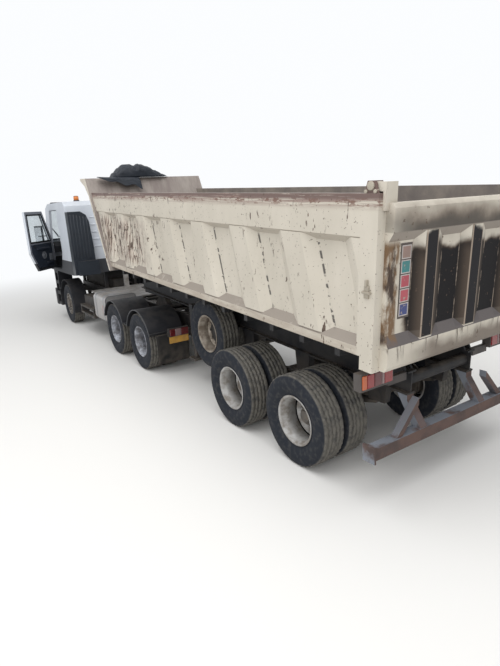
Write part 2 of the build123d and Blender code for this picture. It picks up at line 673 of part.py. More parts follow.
# Grille panel on the cab's front
GRILLE_Z = (1430.0, 2060.0)
with BuildPart(road) as grille_panel:
    block((-1080, 1080), (CAB_FRONT - 34, CAB_FRONT - SEAT), GRILLE_Z)
    for i in range(5):
        z = GRILLE_Z[0] + 70 + i * 105
        block((-900, 900), (CAB_FRONT - 40, CAB_FRONT - 14), (z, z + 60), Mode.SUBTRACT)
save("grille_panel", grille_panel)

# Dashboard with the steering column and wheel
WHEEL_C = (560.0, -11620.0, 2190.0)
with BuildPart(road) as dashboard:
    inside = CAB_HALF - CAB_WALL - 2 * MOVE_GAP
    panel(road, (-inside, inside), (
        (CAB_FRONT + CAB_WALL + SEAT, 1900), (CAB_FRONT + CAB_WALL + SEAT, 2080), (-12220, 2170), (-11900, 2170),
        (-11820, 2060), (-11880, 1900),
    ))
    block((WHEEL_C[0] - 60, WHEEL_C[0] + 60), (-12100, -11860), (1520, 1950))
    with Locations(Location(WHEEL_C, (-45, 0, 0))):
        Torus(215, 17)
        Cylinder(45, 40)
        Box(420, 44, 14)
        with Locations((0, 0, -210)):
            Cylinder(28, 420)
save("dashboard", dashboard)

# Two seats and the bunk behind them
FLOOR_TOP = CAB_LOW + FLOOR_T
with BuildPart(road) as seats:
    for x in (-560, 560):
        panel(road, (x - 240, x + 240), (
            (-11250, FLOOR_TOP + SEAT), (-11330, 1700), (-11330, 1850), (-10900, 1830), (-10830, 2480),
            (-10740, 2480), (-10760, 1780), (-10800, FLOOR_TOP + SEAT),
        ))
        panel(road, (x - 130, x + 130), ((-10850, 2475), (-10840, 2660), (-10755, 2660), (-10745, 2475)))
    block((-CAB_HALF + CAB_WALL + 10, CAB_HALF - CAB_WALL - 10), (-10560, CAB_REAR - CAB_WALL - 5),
          (FLOOR_TOP + SEAT, 1950))
save("seats", seats)

# Roof visor, beacon and roof unit
with BuildPart(road) as roof_visor:
    panel(road, (-1120, 1120), (
        (-11980 - 2, ROOF_EDGE + 4), (-12170, ROOF_EDGE - 60), (-12160, ROOF_EDGE - 20), (-11720, CAB_TOP + 40),
        (-11700, CAB_TOP + SEAT), (-11652, CAB_TOP + SEAT),
    ))
save("roof_visor", roof_visor)

with BuildPart(road) as roof_units:
    with Locations((700, -10650, CAB_TOP + SEAT + 20)):
        Cylinder(75, 40)
    with Locations((700, -10650, CAB_TOP + SEAT + 90)):
        Cylinder(60, 110)
    block((-500, 250), (-10500, -10150), (CAB_TOP + SEAT, CAB_TOP + 70))
save("roof_units", roof_units)

# Air intake: tall duct on the cab's rear wall with the filter housing below it
DUCT_Y = (CAB_REAR + SEAT, CAB_REAR + 240)
with BuildPart() as air_intake:
    bulkhead(road, DUCT_Y, (
        (CAB_HALF, 1420), (CAB_HALF, 2950), (920, 2950), (790, 2860), (735, 2700), (700, 2100),
        (700, 1420),
    ))
    bulkhead(road, (DUCT_Y[0], DUCT_Y[1] + 90), ((1150, 1410), (1150, 1760), (640, 1760), (640, 1410)))
save("air_intake", air_intake)


# Doors: hollow frames round a pane, hung at their front edge on two pins

def door(frame, hand):
    """One door in the frame of its hinge line; x is outward times hand."""
    skin_out = -DOOR_HINGE_OUT * hand
    skin_in = (-DOOR_HINGE_OUT - DOOR_T) * hand
    x = sorted((skin_in, skin_out))
    outline = [(y - DOOR_FRONT, z) for y, z in DOOR_OUTLINE]
    window = ((130, SILL_Z + 40), (400, DOOR_HIGH - 90), (1060, DOOR_HIGH - 90), (1060, SILL_Z + 40))
    with BuildPart() as leaf:
        panel(frame, x, outline)
        panel(frame, x, window, Mode.SUBTRACT)
        for z in (DOOR_LOW + 180, SILL_Z - 180):
            with BuildSketch(level(frame, z - 36)):
                Circle(15)
                with Locations((-hand * (DOOR_HINGE_OUT + 2) / 2, 13)):
                    Rectangle(DOOR_HINGE_OUT + 2, 26)
                Circle(8 + RUN_FIT, mode=Mode.SUBTRACT)
            extrude(amount=72)
        for y, z in ((60, SILL_Z + 20), (90, SILL_Z + 150)):
            with BuildSketch(level(frame, z)):
                with Locations((hand * 130, y)):
                    Rectangle(300, 26)
            extrude(amount=26)
        with BuildSketch(level(frame, SILL_Z - 40)):
            with Locations((hand * 265, 50)):
                RectangleRounded(230, 90, 30)
        extrude(amount=480)
    pane = [(130 + SEAT, SILL_Z + 40 + SEAT), (400, DOOR_HIGH - 90 - SEAT),
            (1060 - SEAT, DOOR_HIGH - 90 - SEAT), (1060 - SEAT, SILL_Z + 40 + SEAT)]
    centre = (x[0] + x[1]) / 2
    with BuildPart() as glass:
        panel(frame, (centre - PANE_T / 2, centre + PANE_T / 2), pane)
    return leaf, glass


for hand, word, turn in ((1, "left", -DOOR_OPEN), (-1, "right", 0.0)):
    origin = road.from_local_coords((hand * (CAB_HALF + DOOR_HINGE_OUT), DOOR_FRONT, 0))
    hinge_frame = Plane(origin).rotated((0, 0, turn))
    leaf, glass = door(hinge_frame, hand)
    save(f"door_{word}", leaf)
    save(f"door_window_{word}", glass)

# Trailer frame: I-section rails, cross members, kingpin plate and spring brackets
RAIL_X = (TRAIL_RAIL_X - TRAIL_RAIL_W / 2, TRAIL_RAIL_X + TRAIL_RAIL_W / 2)
TRAIL_LOW = TRAIL_RAIL_TOP - TRAIL_RAIL_H
FLANGE_T = 18.0
TRAIL_CROSS = (60.0, -840.0, -1900.0, -2960.0, -4000.0, -5050.0, -6050.0)
HOIST_PIN_R = 32.0
HOIST_CHEEK = (130.0, 155.0)
SPARE_STUB_R = 60.0


def to_bed(y, z):
    """The bed-frame place of a point given by y and height in the road frame."""
    along, up = y - HINGE_Y, z - HINGE_Z
    return (along * math.cos(BACK) - up * math.sin(BACK), along * math.sin(BACK) + up * math.cos(BACK))


base_y, base_z = to_bed(*HOIST_BASE)
with BuildPart() as trailer_frame:
    for hand in (1, -1):
        x = sorted((hand * RAIL_X[0], hand * RAIL_X[1]))
        for z in (TRAIL_LOW, TRAIL_RAIL_TOP - FLANGE_T):
            panel(bed, x, ((TRAIL_FRONT, z), (TRAIL_FRONT, z + FLANGE_T), (TRAIL_REAR, z + FLANGE_T), (TRAIL_REAR, z)))
        web = (hand * TRAIL_RAIL_X - TRAIL_WEB / 2, hand * TRAIL_RAIL_X + TRAIL_WEB / 2)
        panel(bed, web, ((TRAIL_FRONT, TRAIL_LOW + 5), (TRAIL_FRONT, TRAIL_RAIL_TOP - 5),
                         (TRAIL_REAR, TRAIL_RAIL_TOP - 5), (TRAIL_REAR, TRAIL_LOW + 5)))
        for inner in (RAIL_X[0], RAIL_X[1] - 25):
            cheek = sorted((hand * inner, hand * (inner + 25)))
            panel(bed, cheek, ((-110, TRAIL_RAIL_TOP - 5), (-50, 45), (50, 45), (110, TRAIL_RAIL_TOP - 5)))
        pin = sorted((hand * (RAIL_X[0] + 5), hand * (RAIL_X[1] - 5)))
        with BuildSketch(side(bed, pin[0])):
            Circle(HINGE_R)
        extrude(amount=pin[1] - pin[0])
        spring = sorted((hand * SPRING_X[0], hand * SPRING_X[1]))
        seat = TYRE_R + AXLE_R - 5 + 150
        for y in (TRAILER_AXLES[0] + SPRING_HALF, (TRAILER_AXLES[0] + TRAILER_AXLES[1]) / 2,
                  TRAILER_AXLES[1] - SPRING_HALF):
            panel(road, spring, (
                (y - 110, seat + SEAT), (y - 140, rail_low_z(y) + 25), (y + 140, rail_low_z(y) + 15),
                (y + 110, seat + SEAT),
            ))
    for y in TRAIL_CROSS:
        with BuildSketch(side(bed, -TRAIL_RAIL_X)):
            with Locations((y, (TRAIL_LOW + TRAIL_RAIL_TOP) / 2)):
                Circle(62)
        extrude(amount=2 * TRAIL_RAIL_X)
    plate_y = (KINGPIN_Y - SKID_HALF, KINGPIN_Y + SKID_HALF)
    panel(road, (-540, 540), (
        (plate_y[0], COUPLER_Z + SEAT), (plate_y[0], rail_low_z(plate_y[0]) + 5),
        (plate_y[1], rail_low_z(plate_y[1]) + 5), (plate_y[1], COUPLER_Z + SEAT),
    ))
    beam_y = base_y + BARREL_R + 30
    panel(bed, (-TRAIL_RAIL_X, TRAIL_RAIL_X), (
        (beam_y, TRAIL_LOW + 12), (beam_y, base_z - 45), (beam_y + 90, base_z - 45), (beam_y + 90, TRAIL_LOW + 12),
    ))
    for hand in (1, -1):
        cheek = sorted((hand * HOIST_CHEEK[0], hand * HOIST_CHEEK[1]))
        panel(bed, cheek, (
            (beam_y + 5, TRAIL_LOW + 20), (beam_y + 5, base_z - 50), (base_y + 60, base_z + 65),
            (base_y - 50, base_z + 65), (base_y - 75, base_z), (base_y - 50, base_z - 70),
        ))
        with BuildSketch(side(bed, cheek[0] - 1)):
            with Locations((base_y, base_z)):
                Circle(HOIST_PIN_R + RUN_FIT)
        extrude(amount=HOIST_CHEEK[1] - HOIST_CHEEK[0] + 2, mode=Mode.SUBTRACT)
    with BuildSketch(level(road, COUPLER_Z - 75)):
        with Locations((0, KINGPIN_Y)):
            Circle(KINGPIN_R)
    extrude(amount=90)
    with BuildSketch(side(road, RAIL_X[1] - 15)):
        with Locations((SPARE_Y, SPARE_Z)):
            Circle(SPARE_STUB_R)
    extrude(amount=SPARE_DISC + 55 - RAIL_X[1] + 15)
    with BuildSketch(side(road, RAIL_X[1] - 20)):
        with Locations((SPARE_Y, SPARE_Z)):
            Rectangle(180, 2 * (rail_low_z(SPARE_Y) - SPARE_Z) + 60)
    extrude(amount=20)
    with BuildSketch(side(road, SPARE_DISC - 16 - SEAT)):
        with Locations((SPARE_Y, SPARE_Z)):
            Circle(DRUM_R - 10)
    extrude(amount=16)
    with BuildSketch(side(road, SPARE_DISC + DISC_T + SEAT)):
        with Locations((SPARE_Y, SPARE_Z)):
            Circle(SPARE_HOLE_R + 30)
    extrude(amount=14)
save("trailer_frame", trailer_frame)

# Landing legs, raised, on cross tubes out of the rails
LEG_Y = -4330.0
LEG_X = 740.0
LEG_W = 120.0
LEG_LOW = 430.0
LEG_TOP = 1340.0
with BuildPart(road) as landing_legs:
    for hand in (1, -1):
        x = sorted((hand * (LEG_X - LEG_W / 2), hand * (LEG_X + LEG_W / 2)))
        block(x, (LEG_Y - LEG_W / 2, LEG_Y + LEG_W / 2), (620, LEG_TOP))
        block(sorted((hand * (LEG_X - 45), hand * (LEG_X + 45))), (LEG_Y - 45, LEG_Y + 45), (LEG_LOW, 630))
        block(sorted((hand * (LEG_X - 120), hand * (LEG_X + 120))), (LEG_Y - 110, LEG_Y + 110), (LEG_LOW - 25, LEG_LOW + 5))
        block(sorted((hand * (RAIL_X[1] + SEAT), hand * (LEG_X - LEG_W / 2 + 5))), (LEG_Y - 50, LEG_Y + 50), (rail_low_z(LEG_Y) + 4, LEG_TOP - 10))
    tube_x((-LEG_X, LEG_X), LEG_Y, 900, 28)
save("landing_legs", landing_legs)

# Underrun bar on four slanted struts, and the lamp boxes at the frame's tail
BAR_Y = (-110.0, 10.0)
BAR_Z = (510.0, 630.0)
with BuildPart(road) as underrun_bar:
    block((-1200, 1200), BAR_Y, BAR_Z)
    both((1195, 1215), (BAR_Y[0] - 15, BAR_Y[1] + 15), (BAR_Z[0] - 25, BAR_Z[1] + 25))
    top = rail_low_z(-170) - SEAT
    for hand in (1, -1):
        for inner in (RAIL_X[0] + 10,):
            panel(road, sorted((hand * inner, hand * (inner + 100))), (
                (BAR_Y[0] + 5, BAR_Z[1] - 5), (-290, top - 10), (-290, top), (-170, top), (-170, top - 60),
                (BAR_Y[1] - 5, BAR_Z[1] - 5),
            ))
        bulkhead(road, (BAR_Y[0] + 20, BAR_Y[1] - 20), (
            (hand * 800, BAR_Z[1] - 5), (hand * 560, 890), (hand * 560, 960), (hand * 880, BAR_Z[1] - 5),
        ))
save("underrun_bar", underrun_bar)

LAMP_Y = (-225.0, -130.0)
with BuildPart(road) as tail_lamps:
    for hand in (1, -1):
        block(sorted((hand * 800, hand * 1225)), LAMP_Y, (1150, 1320))
        block(sorted((hand * (RAIL_X[1] + SEAT), hand * 810)), (LAMP_Y[0], LAMP_Y[0] + 50), (1100, 1180))
save("tail_lamps", tail_lamps)

# Bed floor: plate on two long box rails and short cross bearers
SUB_W = 100.0
SUB_LOW = TRAIL_RAIL_TOP + SEAT
SIDE_IN = BED_HALF - SIDE_T
LUG_W = TRAIL_RAIL_W - 2 * 25 - 2 * MOVE_GAP
LUG_R = 46.0
with BuildPart() as bed_floor:
    floor_top = FLOOR_LOW + FLOOR_THICK
    beam_front = front_line(HEAD_LOW) + 20
    panel(bed, (-SIDE_IN + SEAT, SIDE_IN - SEAT), (
        (front_line(FLOOR_LOW) + SEAT, FLOOR_LOW), (front_line(floor_top) + SEAT, floor_top),
        (BED_REAR, floor_top), (BED_REAR, FLOOR_LOW),
    ))
    for hand in (1, -1):
        x = (hand * TRAIL_RAIL_X - SUB_W / 2, hand * TRAIL_RAIL_X + SUB_W / 2)
        panel(bed, x, ((beam_front, SUB_LOW), (beam_front, FLOOR_LOW + 5), (BED_REAR - 20, FLOOR_LOW + 5),
                       (BED_REAR - 20, 100), (-180, 100), (-180, SUB_LOW)))
        lug = (hand * TRAIL_RAIL_X - LUG_W / 2, hand * TRAIL_RAIL_X + LUG_W / 2)
        panel(bed, lug, ((-70, 105), (-LUG_R, 0), (LUG_R, 0), (70, 105)))
        with BuildSketch(side(bed, lug[0])):
            Circle(LUG_R)
        extrude(amount=LUG_W)
        with BuildSketch(side(bed, lug[0] - 1)):
            Circle(HINGE_R + RUN_FIT)
        extrude(amount=LUG_W + 2, mode=Mode.SUBTRACT)
    for i in range(12):
        y = BED_FRONT_LOW + 250 + i * 540
        panel(bed, (-SIDE_IN + 10, SIDE_IN - 10), ((y, 130), (y, FLOOR_LOW + 5), (y + 70, FLOOR_LOW + 5), (y + 70, 130)))
save("bed_floor", bed_floor)

# Bed sides: folded rail, skin and top band, with leaning ribs pressed between them
SKIN_OUT = SIDE_IN + BED_SKIN


def bed_side(hand):
    """One side wall; its section is drawn once and cut along the sloping front edge."""
    section = (
        (SIDE_IN, SIDE_LOW), (BED_HALF, SIDE_LOW), (BED_HALF, LEDGE_Z[0]), (SKIN_OUT, LEDGE_Z[1]),
        (SKIN_OUT, BAND_Z[0]), (BED_HALF, BAND_Z[1]), (BED_HALF, SIDE_TOP), (SIDE_IN, SIDE_TOP),
    )
    full = sorted((hand * SIDE_IN, hand * BED_HALF))
    rib_low, rib_high = LEDGE_Z[0] + 20, BAND_Z[1] - 10
    rise = rib_high - rib_low
    with BuildPart() as part:
        bulkhead(bed, (BED_FRONT_TOP, BED_REAR), [(hand * x, z) for x, z in section])
        for i in range(BAYS + 1):
            head = BED_REAR + RIB_HEAD - i * BAY_PITCH
            foot = head + BAY_LEAN * rise
            with BuildSketch(level(bed, rib_low)):
                Polygon(
                    (hand * (SKIN_OUT - 5), foot), (hand * BED_HALF, foot - RIB_FLANK),
                    (hand * BED_HALF, foot - RIB_W - RIB_FLANK), (hand * (SKIN_OUT - 5), foot - RIB_W - 2 * RIB_FLANK),
                    align=None,
                )
            lean = bed.y_dir * -BAY_LEAN + bed.z_dir
            extrude(amount=rise * lean.length, dir=tuple(lean))
        behind = BED_REAR + RIB_HEAD + BAY_LEAN * rise + 50
        panel(bed, full, ((BED_REAR, POST_LOW), (BED_REAR, SIDE_TOP + 50), (behind, SIDE_TOP + 50),
                          (behind, POST_LOW)), Mode.SUBTRACT)
        panel(bed, full, ((BED_REAR - POST_W, POST_LOW), (BED_REAR - POST_W, SIDE_TOP - 5),
                          (BED_REAR, SIDE_TOP - 5), (BED_REAR, POST_LOW)))
        panel(bed, full, ((BED_REAR - POST_W - 40, SIDE_LOW), (BED_REAR - POST_W - 40, BAND_Z[1]),
                          (BED_REAR - POST_W + 5, BAND_Z[1]), (BED_REAR - POST_W + 5, SIDE_LOW)))
        strip = ((-9000, POST_LOW), (-9000, SIDE_TOP + 50), (front_line(SIDE_TOP + 50), SIDE_TOP + 50),
                 (front_line(POST_LOW), POST_LOW))
        panel(bed, sorted((hand * (SIDE_IN - 50), hand * (BED_HALF + 50))), strip, Mode.SUBTRACT)
        for cheek in ((ARM_X[0] - 30, ARM_X[0] - 10), (ARM_X[1] + 10, ARM_X[1] + 30)):
            panel(bed, sorted((hand * cheek[0], hand * cheek[1])), (
                (GATE_PIN_Y - 75, SIDE_TOP - 5), (GATE_PIN_Y - 40, GATE_PIN_Z + 40),
                (GATE_PIN_Y + 40, GATE_PIN_Z + 40), (GATE_PIN_Y + 75, SIDE_TOP - 5),
            ))
        with BuildSketch(side(bed, min(hand * (ARM_X[0] - 25), hand * (ARM_X[1] + 25)))):
            with Locations((GATE_PIN_Y, GATE_PIN_Z)):
                Circle(GATE_PIN_R)
        extrude(amount=ARM_X[1] - ARM_X[0] + 50)
    return part


for hand, word in ((1, "left"), (-1, "right")):
    save(f"bed_side_{word}", bed_side(hand))

# Headboard: sloping front wall with side flanges, a forward lip and the hoist's bracket
EYE_R = 48.0
EYE_W = 50.0
EYE_BOSS_R = 24.0
EYE_CHEEK = (70.0, 92.0)
eye_y, eye_z = to_bed(*HOIST_EYE)
with BuildPart() as headboard:
    width = (-BED_HALF - HEAD_OUT, BED_HALF + HEAD_OUT)
    bend = SIDE_TOP - 60
    panel(bed, width, (
        (front_line(HEAD_LOW) - SEAT, HEAD_LOW), (front_line(HEAD_TOP) - SEAT, HEAD_TOP),
        (front_line(HEAD_TOP) - 60, HEAD_TOP), (front_line(bend) - HEAD_T, bend),
        (front_line(HEAD_LOW) - HEAD_T, HEAD_LOW),
    ))
    panel(bed, width, (
        (HEAD_LIP, HEAD_TOP - 30), (HEAD_LIP, HEAD_TOP), (front_line(HEAD_TOP) - 10, HEAD_TOP),
        (front_line(HEAD_TOP) - 10, HEAD_TOP - 30),
    ))
    for x in (-BED_HALF - HEAD_OUT, -620, 600, BED_HALF + HEAD_OUT - 20):
        panel(bed, (x, x + 20), (
            (HEAD_LIP, HEAD_TOP - 5), (HEAD_LIP, HEAD_TOP - 40), (HEAD_LIP + 260, HEAD_TOP - 150),
            (front_line(bend) - HEAD_T + 5, bend), (front_line(HEAD_TOP) - 20, HEAD_TOP - 5),
        ))
    for hand in (1, -1):
        cheek = sorted((hand * EYE_CHEEK[0], hand * EYE_CHEEK[1]))
        panel(bed, cheek, (
            (front_line(eye_z - 170) - 20, eye_z - 170), (eye_y + 20, eye_z - 60), (eye_y - 60, eye_z - 20),
            (eye_y - 50, eye_z + 60), (front_line(eye_z + 230) - 20, eye_z + 230),
        ))
        with BuildSketch(side(bed, min(hand * (EYE_W / 2 + 3), hand * (EYE_CHEEK[0] + 5)))):
            with Locations((eye_y, eye_z)):
                Circle(EYE_BOSS_R)
        extrude(amount=EYE_CHEEK[0] + 5 - EYE_W / 2 - 3)
save("headboard", headboard)

# Rolled tarpaulin that lies on the headboard's top
with BuildPart() as tarpaulin:
    low = HEAD_TOP + SEAT
    panel(bed, (-520, 740), (
        (HEAD_LIP + 30, low), (HEAD_LIP + 60, low + 150), (HEAD_LIP + 180, low + 215),
        (front_line(HEAD_TOP) - 60, low + 150), (front_line(HEAD_TOP) - 20, low),
    ))
save("tarpaulin", tarpaulin)

# Tailgate: skin with top and bottom bands and deep upright ribs, hung from two pins
GATE_LOW = POST_LOW + 10
GATE_IN = BED_REAR + SEAT
GATE_OUT = GATE_IN + GATE_SKIN
GATE_FACE = GATE_IN + GATE_RIB_D
GATE_LEDGE = (370.0, 470.0)
GATE_BAND = (1270.0, 1350.0)
with BuildPart() as tailgate:
    panel(bed, (-GATE_HALF, GATE_HALF), (
        (GATE_IN, GATE_LOW), (GATE_IN, GATE_TOP), (GATE_FACE - 30, GATE_TOP), (GATE_FACE, GATE_TOP - 40),
        (GATE_FACE, GATE_BAND[1]), (GATE_OUT, GATE_BAND[0]), (GATE_OUT, GATE_LEDGE[1]),
        (GATE_FACE, GATE_LEDGE[0]), (GATE_FACE, GATE_LOW + 40), (GATE_FACE - 30, GATE_LOW),
    ))
    for i in range(GATE_RIBS):
        x = (i - (GATE_RIBS - 1) / 2) * GATE_PITCH
        wide = GATE_RIB_W / 2
        with BuildSketch(level(bed, GATE_LEDGE[0] + 10)):
            Polygon((x - wide - GATE_FLANK, GATE_OUT - 5), (x - wide, GATE_FACE), (x + wide, GATE_FACE),
                    (x + wide + GATE_FLANK, GATE_OUT - 5), align=None)
        extrude(amount=GATE_BAND[1] - GATE_LEDGE[0] - 20)
    for hand in (1, -1):
        arm = sorted((hand * ARM_X[0], hand * ARM_X[1]))
        hook_z = SIDE_TOP + 12
        panel(bed, sorted((hand * (GATE_HALF - 90), hand * ARM_X[1])), (
            (GATE_IN, GATE_TOP - 60), (GATE_IN, GATE_PIN_Z + 30), (GATE_IN + 30, GATE_PIN_Z + 30),
            (GATE_IN + 30, GATE_TOP - 60),
        ))
        panel(bed, arm, (
            (GATE_IN + 5, GATE_PIN_Z + 30), (GATE_PIN_Y - 20, GATE_PIN_Z + 35), (GATE_PIN_Y - 38, GATE_PIN_Z),
            (GATE_PIN_Y - 20, GATE_PIN_Z - 35), (GATE_IN + 5, hook_z),
        ))
        with BuildSketch(side(bed, arm[0] - 1)):
            with Locations((GATE_PIN_Y, GATE_PIN_Z)):
                Circle(GATE_PIN_R + RUN_FIT)
        extrude(amount=ARM_X[1] - ARM_X[0] + 2, mode=Mode.SUBTRACT)
save("tailgate", tailgate)

# Hoist: barrel on the trailer's nose and nested stages up to the headboard's bracket
base = Vector(0, HOIST_BASE[0], HOIST_BASE[1])
eye = Vector(0, HOIST_EYE[0], HOIST_EYE[1])
hoist_up = (eye - base).normalized()
HOIST_L = (eye - base).length
hoist_plane = Plane(road.from_local_coords(base), x_dir=(1, 0, 0), z_dir=hoist_up)
BARREL_L = HOIST_L - 200
with BuildPart(hoist_plane) as hoist_barrel:
    with BuildSketch(hoist_plane.offset(-30)):
        Circle(BARREL_R)
    extrude(amount=BARREL_L + 30)
    with BuildSketch(hoist_plane):
        Circle(BARREL_R - STAGE_STEP + RUN_FIT)
    extrude(amount=BARREL_L + 10, mode=Mode.SUBTRACT)
    tube_x((-190, 190), 0, 0, HOIST_PIN_R)
save("hoist_barrel", hoist_barrel)

for i in range(1, STAGES + 1):
    outside = BARREL_R - i * STAGE_STEP
    last = i == STAGES
    stage_top = BARREL_L + 25 * i
    with BuildPart() as stage:
        with BuildSketch(hoist_plane.offset(36)):
            Circle(outside)
            if not last:
                Circle(outside - STAGE_STEP + RUN_FIT, mode=Mode.SUBTRACT)
        extrude(amount=stage_top - 36)
        if last:
            with BuildSketch(hoist_plane.offset(stage_top - 5)):
                Rectangle(EYE_W, 70)
            extrude(amount=HOIST_L - stage_top)
            with BuildSketch(side(Plane(road.from_local_coords(eye)), -EYE_W / 2)):
                Circle(EYE_R)
            extrude(amount=EYE_W)
    save(f"hoist_stage_{i}", stage)
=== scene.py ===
import math

import bmesh
import bpy
from mathutils import Matrix, Vector, noise


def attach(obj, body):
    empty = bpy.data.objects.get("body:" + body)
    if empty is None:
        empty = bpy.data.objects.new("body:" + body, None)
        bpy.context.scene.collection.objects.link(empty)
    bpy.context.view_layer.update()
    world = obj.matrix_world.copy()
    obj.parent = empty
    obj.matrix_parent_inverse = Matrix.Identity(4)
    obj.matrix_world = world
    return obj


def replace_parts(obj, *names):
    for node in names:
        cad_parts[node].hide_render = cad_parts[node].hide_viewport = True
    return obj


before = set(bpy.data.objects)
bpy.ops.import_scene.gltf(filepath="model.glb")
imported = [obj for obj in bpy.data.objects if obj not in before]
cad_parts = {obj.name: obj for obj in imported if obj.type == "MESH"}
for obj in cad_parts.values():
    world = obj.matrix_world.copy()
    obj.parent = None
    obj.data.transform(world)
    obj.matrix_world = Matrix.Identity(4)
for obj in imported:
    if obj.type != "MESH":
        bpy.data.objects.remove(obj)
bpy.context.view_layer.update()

# The view: a hand-held camera 2.87 m above the road, behind the lorry's left rear corner.
# It was solved from the bed's edges and the wheels, and looks forward along the left side.
CAMERA_PLACE = (4.1043, 8.9652, 2.8669)
camera_data = bpy.data.cameras.new("view_camera")
camera_data.sensor_width = 36.0
camera_data.lens = 26.589
camera_data.clip_end = 400.0
camera = bpy.data.objects.new("view_camera", camera_data)
look_right = Vector((-0.830725, 0.553336, -0.060948))
look_up = Vector((-0.189529, -0.178186, 0.965572))
look_back = look_right.cross(look_up)
turn = Matrix((look_right, look_up, look_back)).transposed()
camera.matrix_world = Matrix.Translation(CAMERA_PLACE) @ turn.to_4x4()
bpy.context.scene.collection.objects.link(camera)
bpy.context.scene.camera = camera
bpy.context.scene.view_settings.view_transform = "Standard"

# The studio: one wide soft lamp overhead, a weaker one from behind the camera, and an even white sky.
# The floor is a plain pale sheet that takes the lorry's shadow.


def node(tree, kind, inputs=None, **settings):
    """Adds a shader node; inputs are values or sockets by name or number."""
    made = tree.nodes.new(kind)
    for key, value in settings.items():
        setattr(made, key, value)
    for name, value in (inputs or {}).items():
        if isinstance(value, bpy.types.NodeSocket):
            tree.links.new(value, made.inputs[name])
        else:
            made.inputs[name].default_value = value
    return made


def shows_backdrop(tree):
    """1 for rays that the camera sees straight, in a mirror or through glass, and 0 for light."""
    ray = node(tree, "ShaderNodeLightPath").outputs
    either = node(tree, "ShaderNodeMath", {0: ray["Is Camera Ray"], 1: ray["Is Glossy Ray"]}, operation="MAXIMUM")
    return node(tree, "ShaderNodeMath", {0: either.outputs[0], 1: ray["Is Transmission Ray"]},
                operation="MAXIMUM").outputs[0]


world = bpy.data.worlds.new("sky")
bpy.context.scene.world = world
world.use_nodes = True
sky = world.node_tree
sky.nodes.clear()
BACKDROP_WHITE = (0.97, 0.985, 1.0, 1.0)
SKY_LEVEL = 0.62
level_sky = node(sky, "ShaderNodeMapRange", {"Value": shows_backdrop(sky), "To Min": SKY_LEVEL, "To Max": 1.0})
sky_light = node(sky, "ShaderNodeBackground", {"Color": BACKDROP_WHITE, "Strength": level_sky.outputs[0]})
node(sky, "ShaderNodeOutputWorld", {"Surface": sky_light.outputs[0]})

for lamp_name, place, aim, size, power in (
    ("overhead_lamp", (3.0, 4.0, 13.0), (0.0, 0.0, 0.5), 14.0, 1500.0),
    ("rear_lamp", (11.0, 14.0, 7.0), (0.0, 2.0, 1.0), 8.0, 520.0),
):
    lamp_data = bpy.data.lights.new(lamp_name, "AREA")
    lamp_data.size = size
    lamp_data.energy = power
    lamp = bpy.data.objects.new(lamp_name, lamp_data)
    lamp.location = place
    lamp.rotation_euler = (Vector(aim) - Vector(place)).to_track_quat("-Z", "Y").to_euler()
    bpy.context.scene.collection.objects.link(lamp)

floor_mesh = bpy.data.meshes.new("floor")
FLOOR_HALF = 150.0
floor_mesh.from_pydata(
    [(-FLOOR_HALF, -FLOOR_HALF, 0), (FLOOR_HALF, -FLOOR_HALF, 0), (FLOOR_HALF, FLOOR_HALF, 0),
     (-FLOOR_HALF, FLOOR_HALF, 0)], [], [(0, 1, 2, 3)])
floor = bpy.data.objects.new("floor", floor_mesh)
bpy.context.scene.collection.objects.link(floor)
floor_finish = bpy.data.materials.new("pale_floor")
floor_finish.use_nodes = True
ground = floor_finish.node_tree
near = ground.nodes["Principled BSDF"]
near.inputs["Base Color"].default_value = (0.78, 0.77, 0.75, 1)
near.inputs["Roughness"].default_value = 0.9
# Far from the lorry the floor runs out into the white backdrop
far = node(ground, "ShaderNodeEmission", {"Color": BACKDROP_WHITE, "Strength": 1.0})
spot = node(ground, "ShaderNodeTexCoord")
reach = node(ground, "ShaderNodeVectorMath", {0: spot.outputs["Object"]}, operation="LENGTH")
fade = node(ground, "ShaderNodeMapRange", {"Value": reach.outputs["Value"], "From Min": 7.5, "From Max": 19.0},
            interpolation_type="SMOOTHSTEP")
share = node(ground, "ShaderNodeMath", {0: fade.outputs[0], 1: shows_backdrop(ground)}, operation="MULTIPLY")
blend = node(ground, "ShaderNodeMixShader", {0: share.outputs[0], 1: near.outputs[0], 2: far.outputs[0]})
ground.links.new(blend.outputs[0], ground.nodes["Material Output"].inputs["Surface"])
floor_mesh.materials.append(floor_finish)

# Dump bed sides: pressed steel sheet with leaning ribs, welded along each rib's foot, and a box rail on top.
# Cream paint, chipped and streaked where loads scraped over it, dusty on every ledge. The inside is bare steel.


def group(name, ins):
    """A shader node group with float or vector inputs (name, value), and one mask as its output."""
    made = bpy.data.node_groups.new(name, "ShaderNodeTree")
    for label, value in ins:
        if value is None:
            made.interface.new_socket(name=label, in_out="INPUT", socket_type="NodeSocketVector")
        else:
            socket = made.interface.new_socket(name=label, in_out="INPUT", socket_type="NodeSocketFloat")
            socket.default_value = value
    made.interface.new_socket(name="Mask", in_out="OUTPUT", socket_type="NodeSocketFloat")
    return made, node(made, "NodeGroupInput"), node(made, "NodeGroupOutput")


def maths(tree, operation, a, b=None, clamp=False):
    """One Math node's output."""
    values = {0: a} if b is None else {0: a, 1: b}
    return node(tree, "ShaderNodeMath", values, operation=operation, use_clamp=clamp).outputs[0]


def times(tree, first, *others):
    """The product of masks and numbers."""
    for other in others:
        first = node(tree, "ShaderNodeMath", {0: first, 1: other}, operation="MULTIPLY").outputs[0]
    return first


def split(tree, vector):
    """A vector's X, Y and Z outputs."""
    return node(tree, "ShaderNodeSeparateXYZ", {0: vector}).outputs


def ramp(tree, value, low, high):
    """Rises smoothly from 0 at low to 1 at high; high may be the smaller one."""
    made = node(tree, "ShaderNodeMapRange", {"Value": value, "From Min": low, "From Max": high},
                interpolation_type="SMOOTHSTEP")
    return made.outputs[0]


